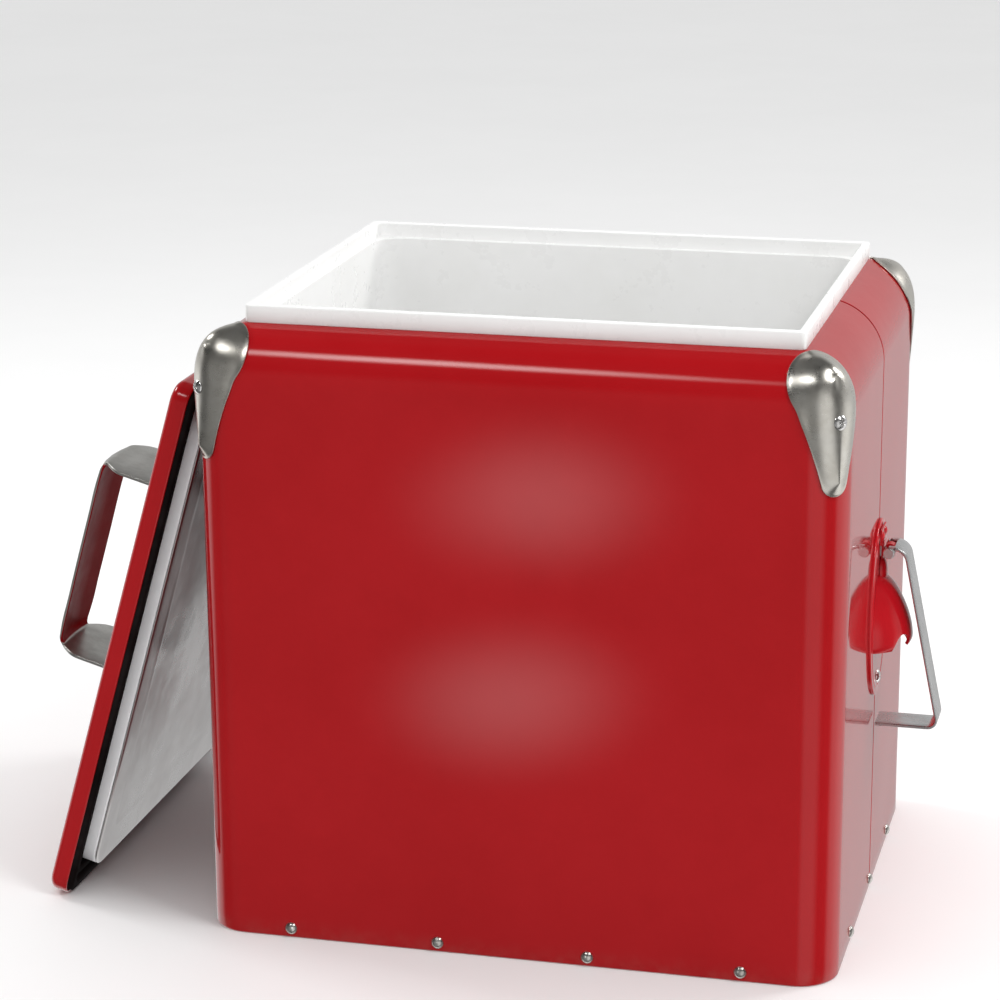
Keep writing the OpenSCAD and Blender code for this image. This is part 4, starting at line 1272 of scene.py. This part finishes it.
def skyDome():
    # soft white all round for what is lit; for what is mirrored a graded room: a pale table below,
    # a bright back wall, dark above and behind the camera
    world = bpy.data.worlds.new("studio")
    bpy.context.scene.world = world
    world.use_nodes = True
    tree = world.node_tree
    background = tree.nodes["Background"]
    direction = tree.nodes.new("ShaderNodeTexCoord").outputs["Generated"]
    parts = tree.nodes.new("ShaderNodeSeparateXYZ")
    link(tree, direction, parts.inputs[0])
    x, y, z = parts.outputs["X"], parts.outputs["Y"], parts.outputs["Z"]
    height = rangeNode(tree, z, -0.2, 0.0, 1.0, room["wallShare"])
    side = product(tree, rangeNode(tree, y, -0.12, 0.16, 0.0, room["side"]), height)
    back = rangeNode(tree, y, 0.45, 0.95, 0.0, 1.0)
    backed = tree.nodes.new("ShaderNodeMix")
    link(tree, back, backed.inputs[0])
    link(tree, side, backed.inputs[2])
    backed.inputs[3].default_value = room["back"]
    window = rangeNode(tree, x, 0.05, 0.3, room["table"], room["window"])
    front = product(tree, rangeNode(tree, y, -0.7, -0.4, 1.0, 0.0), window)
    around = mathNode(tree, "ADD", mathNode(tree, "ADD", backed.outputs[0], front), room["gap"])
    lowCeiling = rangeNode(tree, z, 0.12, 0.42, 1.0, room["above"])
    highCeiling = rangeNode(tree, z, 0.42, 0.75, 1.0, room["above"])
    ceiling = tree.nodes.new("ShaderNodeMix")
    link(tree, back, ceiling.inputs[0])
    link(tree, lowCeiling, ceiling.inputs[2])
    link(tree, highCeiling, ceiling.inputs[3])
    shade = product(tree, around, ceiling.outputs[0])
    ray = tree.nodes.new("ShaderNodeLightPath")
    mix = tree.nodes.new("ShaderNodeMix")
    link(tree, ray.outputs["Is Glossy Ray"], mix.inputs[0])
    mix.inputs[2].default_value = stage["sky"]
    link(tree, shade, mix.inputs[3])
    link(tree, mix.outputs[0], background.inputs["Strength"])
    background.inputs["Color"].default_value = (1, 1, 1, 1)


glow = {
    "far": 0.62,  # share of the way from the wall to the floor
    "wide": 176 * mm, "high": 104 * mm, "strength": 2.0,
    "edgeLean": math.radians(33),  # where the top edge catches the light
    "edgeReach": 1.0, "edgeWide": 0.56, "edgeHigh": 0.2, "edgeStrength": 12.0,
}


def glowCard(name, at, facingUp, reach, wide, high, power):
    # a soft oval of light, seen only by mirror rays, that the paint mirrors at one place, where its
    # surface leans back by facingUp: brightness = (1 - r^2)^3.5 over the oval
    wall = Vector(at)
    sight = (wall - Vector(stage["cameraAt"])).normalized()
    mirrored = sight.reflect(Vector((0, -math.cos(facingUp), math.sin(facingUp))))
    reach = reach or glow["far"] * wall.z / -mirrored.z  # without a reach it stays above the floor
    grow = 1 + reach / (wall - Vector(stage["cameraAt"])).length
    u = np.linspace(-1, 1, 9)
    x, y = np.meshgrid(u * wide * grow / 2, u * high * grow / 2)
    m = facing(np.array(wall + mirrored * reach), -np.array(mirrored))
    points, faces = gridPart(placed(np.stack([x, y, 0 * x], axis=-1), m))
    mesh = bpy.data.meshes.new(name)
    mesh.from_pydata(points.tolist(), [], faces)
    layer = mesh.attributes.new("oval", "FLOAT_VECTOR", "POINT")
    flat = np.stack([2 * x / (wide * grow), 2 * y / (high * grow), 0 * x], axis=-1)
    layer.data.foreach_set("vector", flat.astype(np.float32).ravel())
    material = bpy.data.materials.new(name)
    material.use_nodes = True
    tree = material.node_tree
    tree.nodes.clear()
    where = tree.nodes.new("ShaderNodeAttribute")
    where.attribute_name = "oval"
    away = tree.nodes.new("ShaderNodeVectorMath")
    away.operation = "DOT_PRODUCT"
    link(tree, where.outputs["Vector"], away.inputs[0])
    link(tree, where.outputs["Vector"], away.inputs[1])
    fall = mathNode(tree, "MAXIMUM", mathNode(tree, "SUBTRACT", 1.0, away.outputs["Value"]), 0.0)
    shine = tree.nodes.new("ShaderNodeEmission")
    link(tree, product(tree, mathNode(tree, "POWER", fall, 3.5), power), shine.inputs["Strength"])
    clear = tree.nodes.new("ShaderNodeBsdfTransparent")
    both = tree.nodes.new("ShaderNodeAddShader")
    link(tree, shine.outputs[0], both.inputs[0])
    link(tree, clear.outputs[0], both.inputs[1])
    end = tree.nodes.new("ShaderNodeOutputMaterial")
    link(tree, both.outputs[0], end.inputs["Surface"])
    mesh.materials.append(material)
    card = bpy.data.objects.new(name, mesh)
    card.visible_camera = card.visible_diffuse = card.visible_shadow = False
    bpy.context.scene.collection.objects.link(card)


floorPlane()
skyDome()
for label, across, up in (("High", 0.092, 0.76), ("Low", 0.0, 0.434)):  # shares of halfW and topZ
    glowCard("glow" + label, (across * halfW, -halfD, up * topZ), 0.0, None, glow["wide"], glow["high"],
             glow["strength"])
edgeMiddle = (-0.3 * halfW, -halfD + chest["frontR"] * (1 - math.cos(glow["edgeLean"])),
              topZ - chest["frontR"] * (1 - math.sin(glow["edgeLean"])))
glowCard("glowEdge", edgeMiddle, glow["edgeLean"], glow["edgeReach"], glow["edgeWide"], glow["edgeHigh"],
         glow["edgeStrength"])
bpy.context.scene.view_settings.view_transform = "Standard"
# each lamp: direction from the chest, distance, size, power
lamps = {
    "rightFront": ((0.583, -0.34, 0.728), 1.5, 0.42, 8.0),
    "rightRear": ((0.748, 0.474, 0.462), 1.5, 0.4, 7.0),
    "leftSide": ((-0.83, 0.2, 0.535), 1.5, 0.34, 6.0),
}
for lampName, (toLamp, far, size, power) in lamps.items():
    aimAt = Vector((0, 0, topZ))
    areaLight(lampName, aimAt + Vector(toLamp).normalized() * far, aimAt, size, power)

cameraData = bpy.data.cameras.new("camera")
cameraData.lens, cameraData.sensor_width = stage["lens"], 36
cameraData.clip_start, cameraData.clip_end = 0.02, 60
camera = bpy.data.objects.new("camera", cameraData)
camera.location = stage["cameraAt"]
aim = Vector(stage["lookAt"]) - Vector(stage["cameraAt"])
camera.rotation_mode = "QUATERNION"
roll = Matrix.Rotation(stage["roll"], 3, "Z").to_quaternion()
camera.rotation_quaternion = aim.to_track_quat("-Z", "Y") @ roll
bpy.context.scene.collection.objects.link(camera)
bpy.context.scene.camera = camera
print("cooler: stage and camera made")
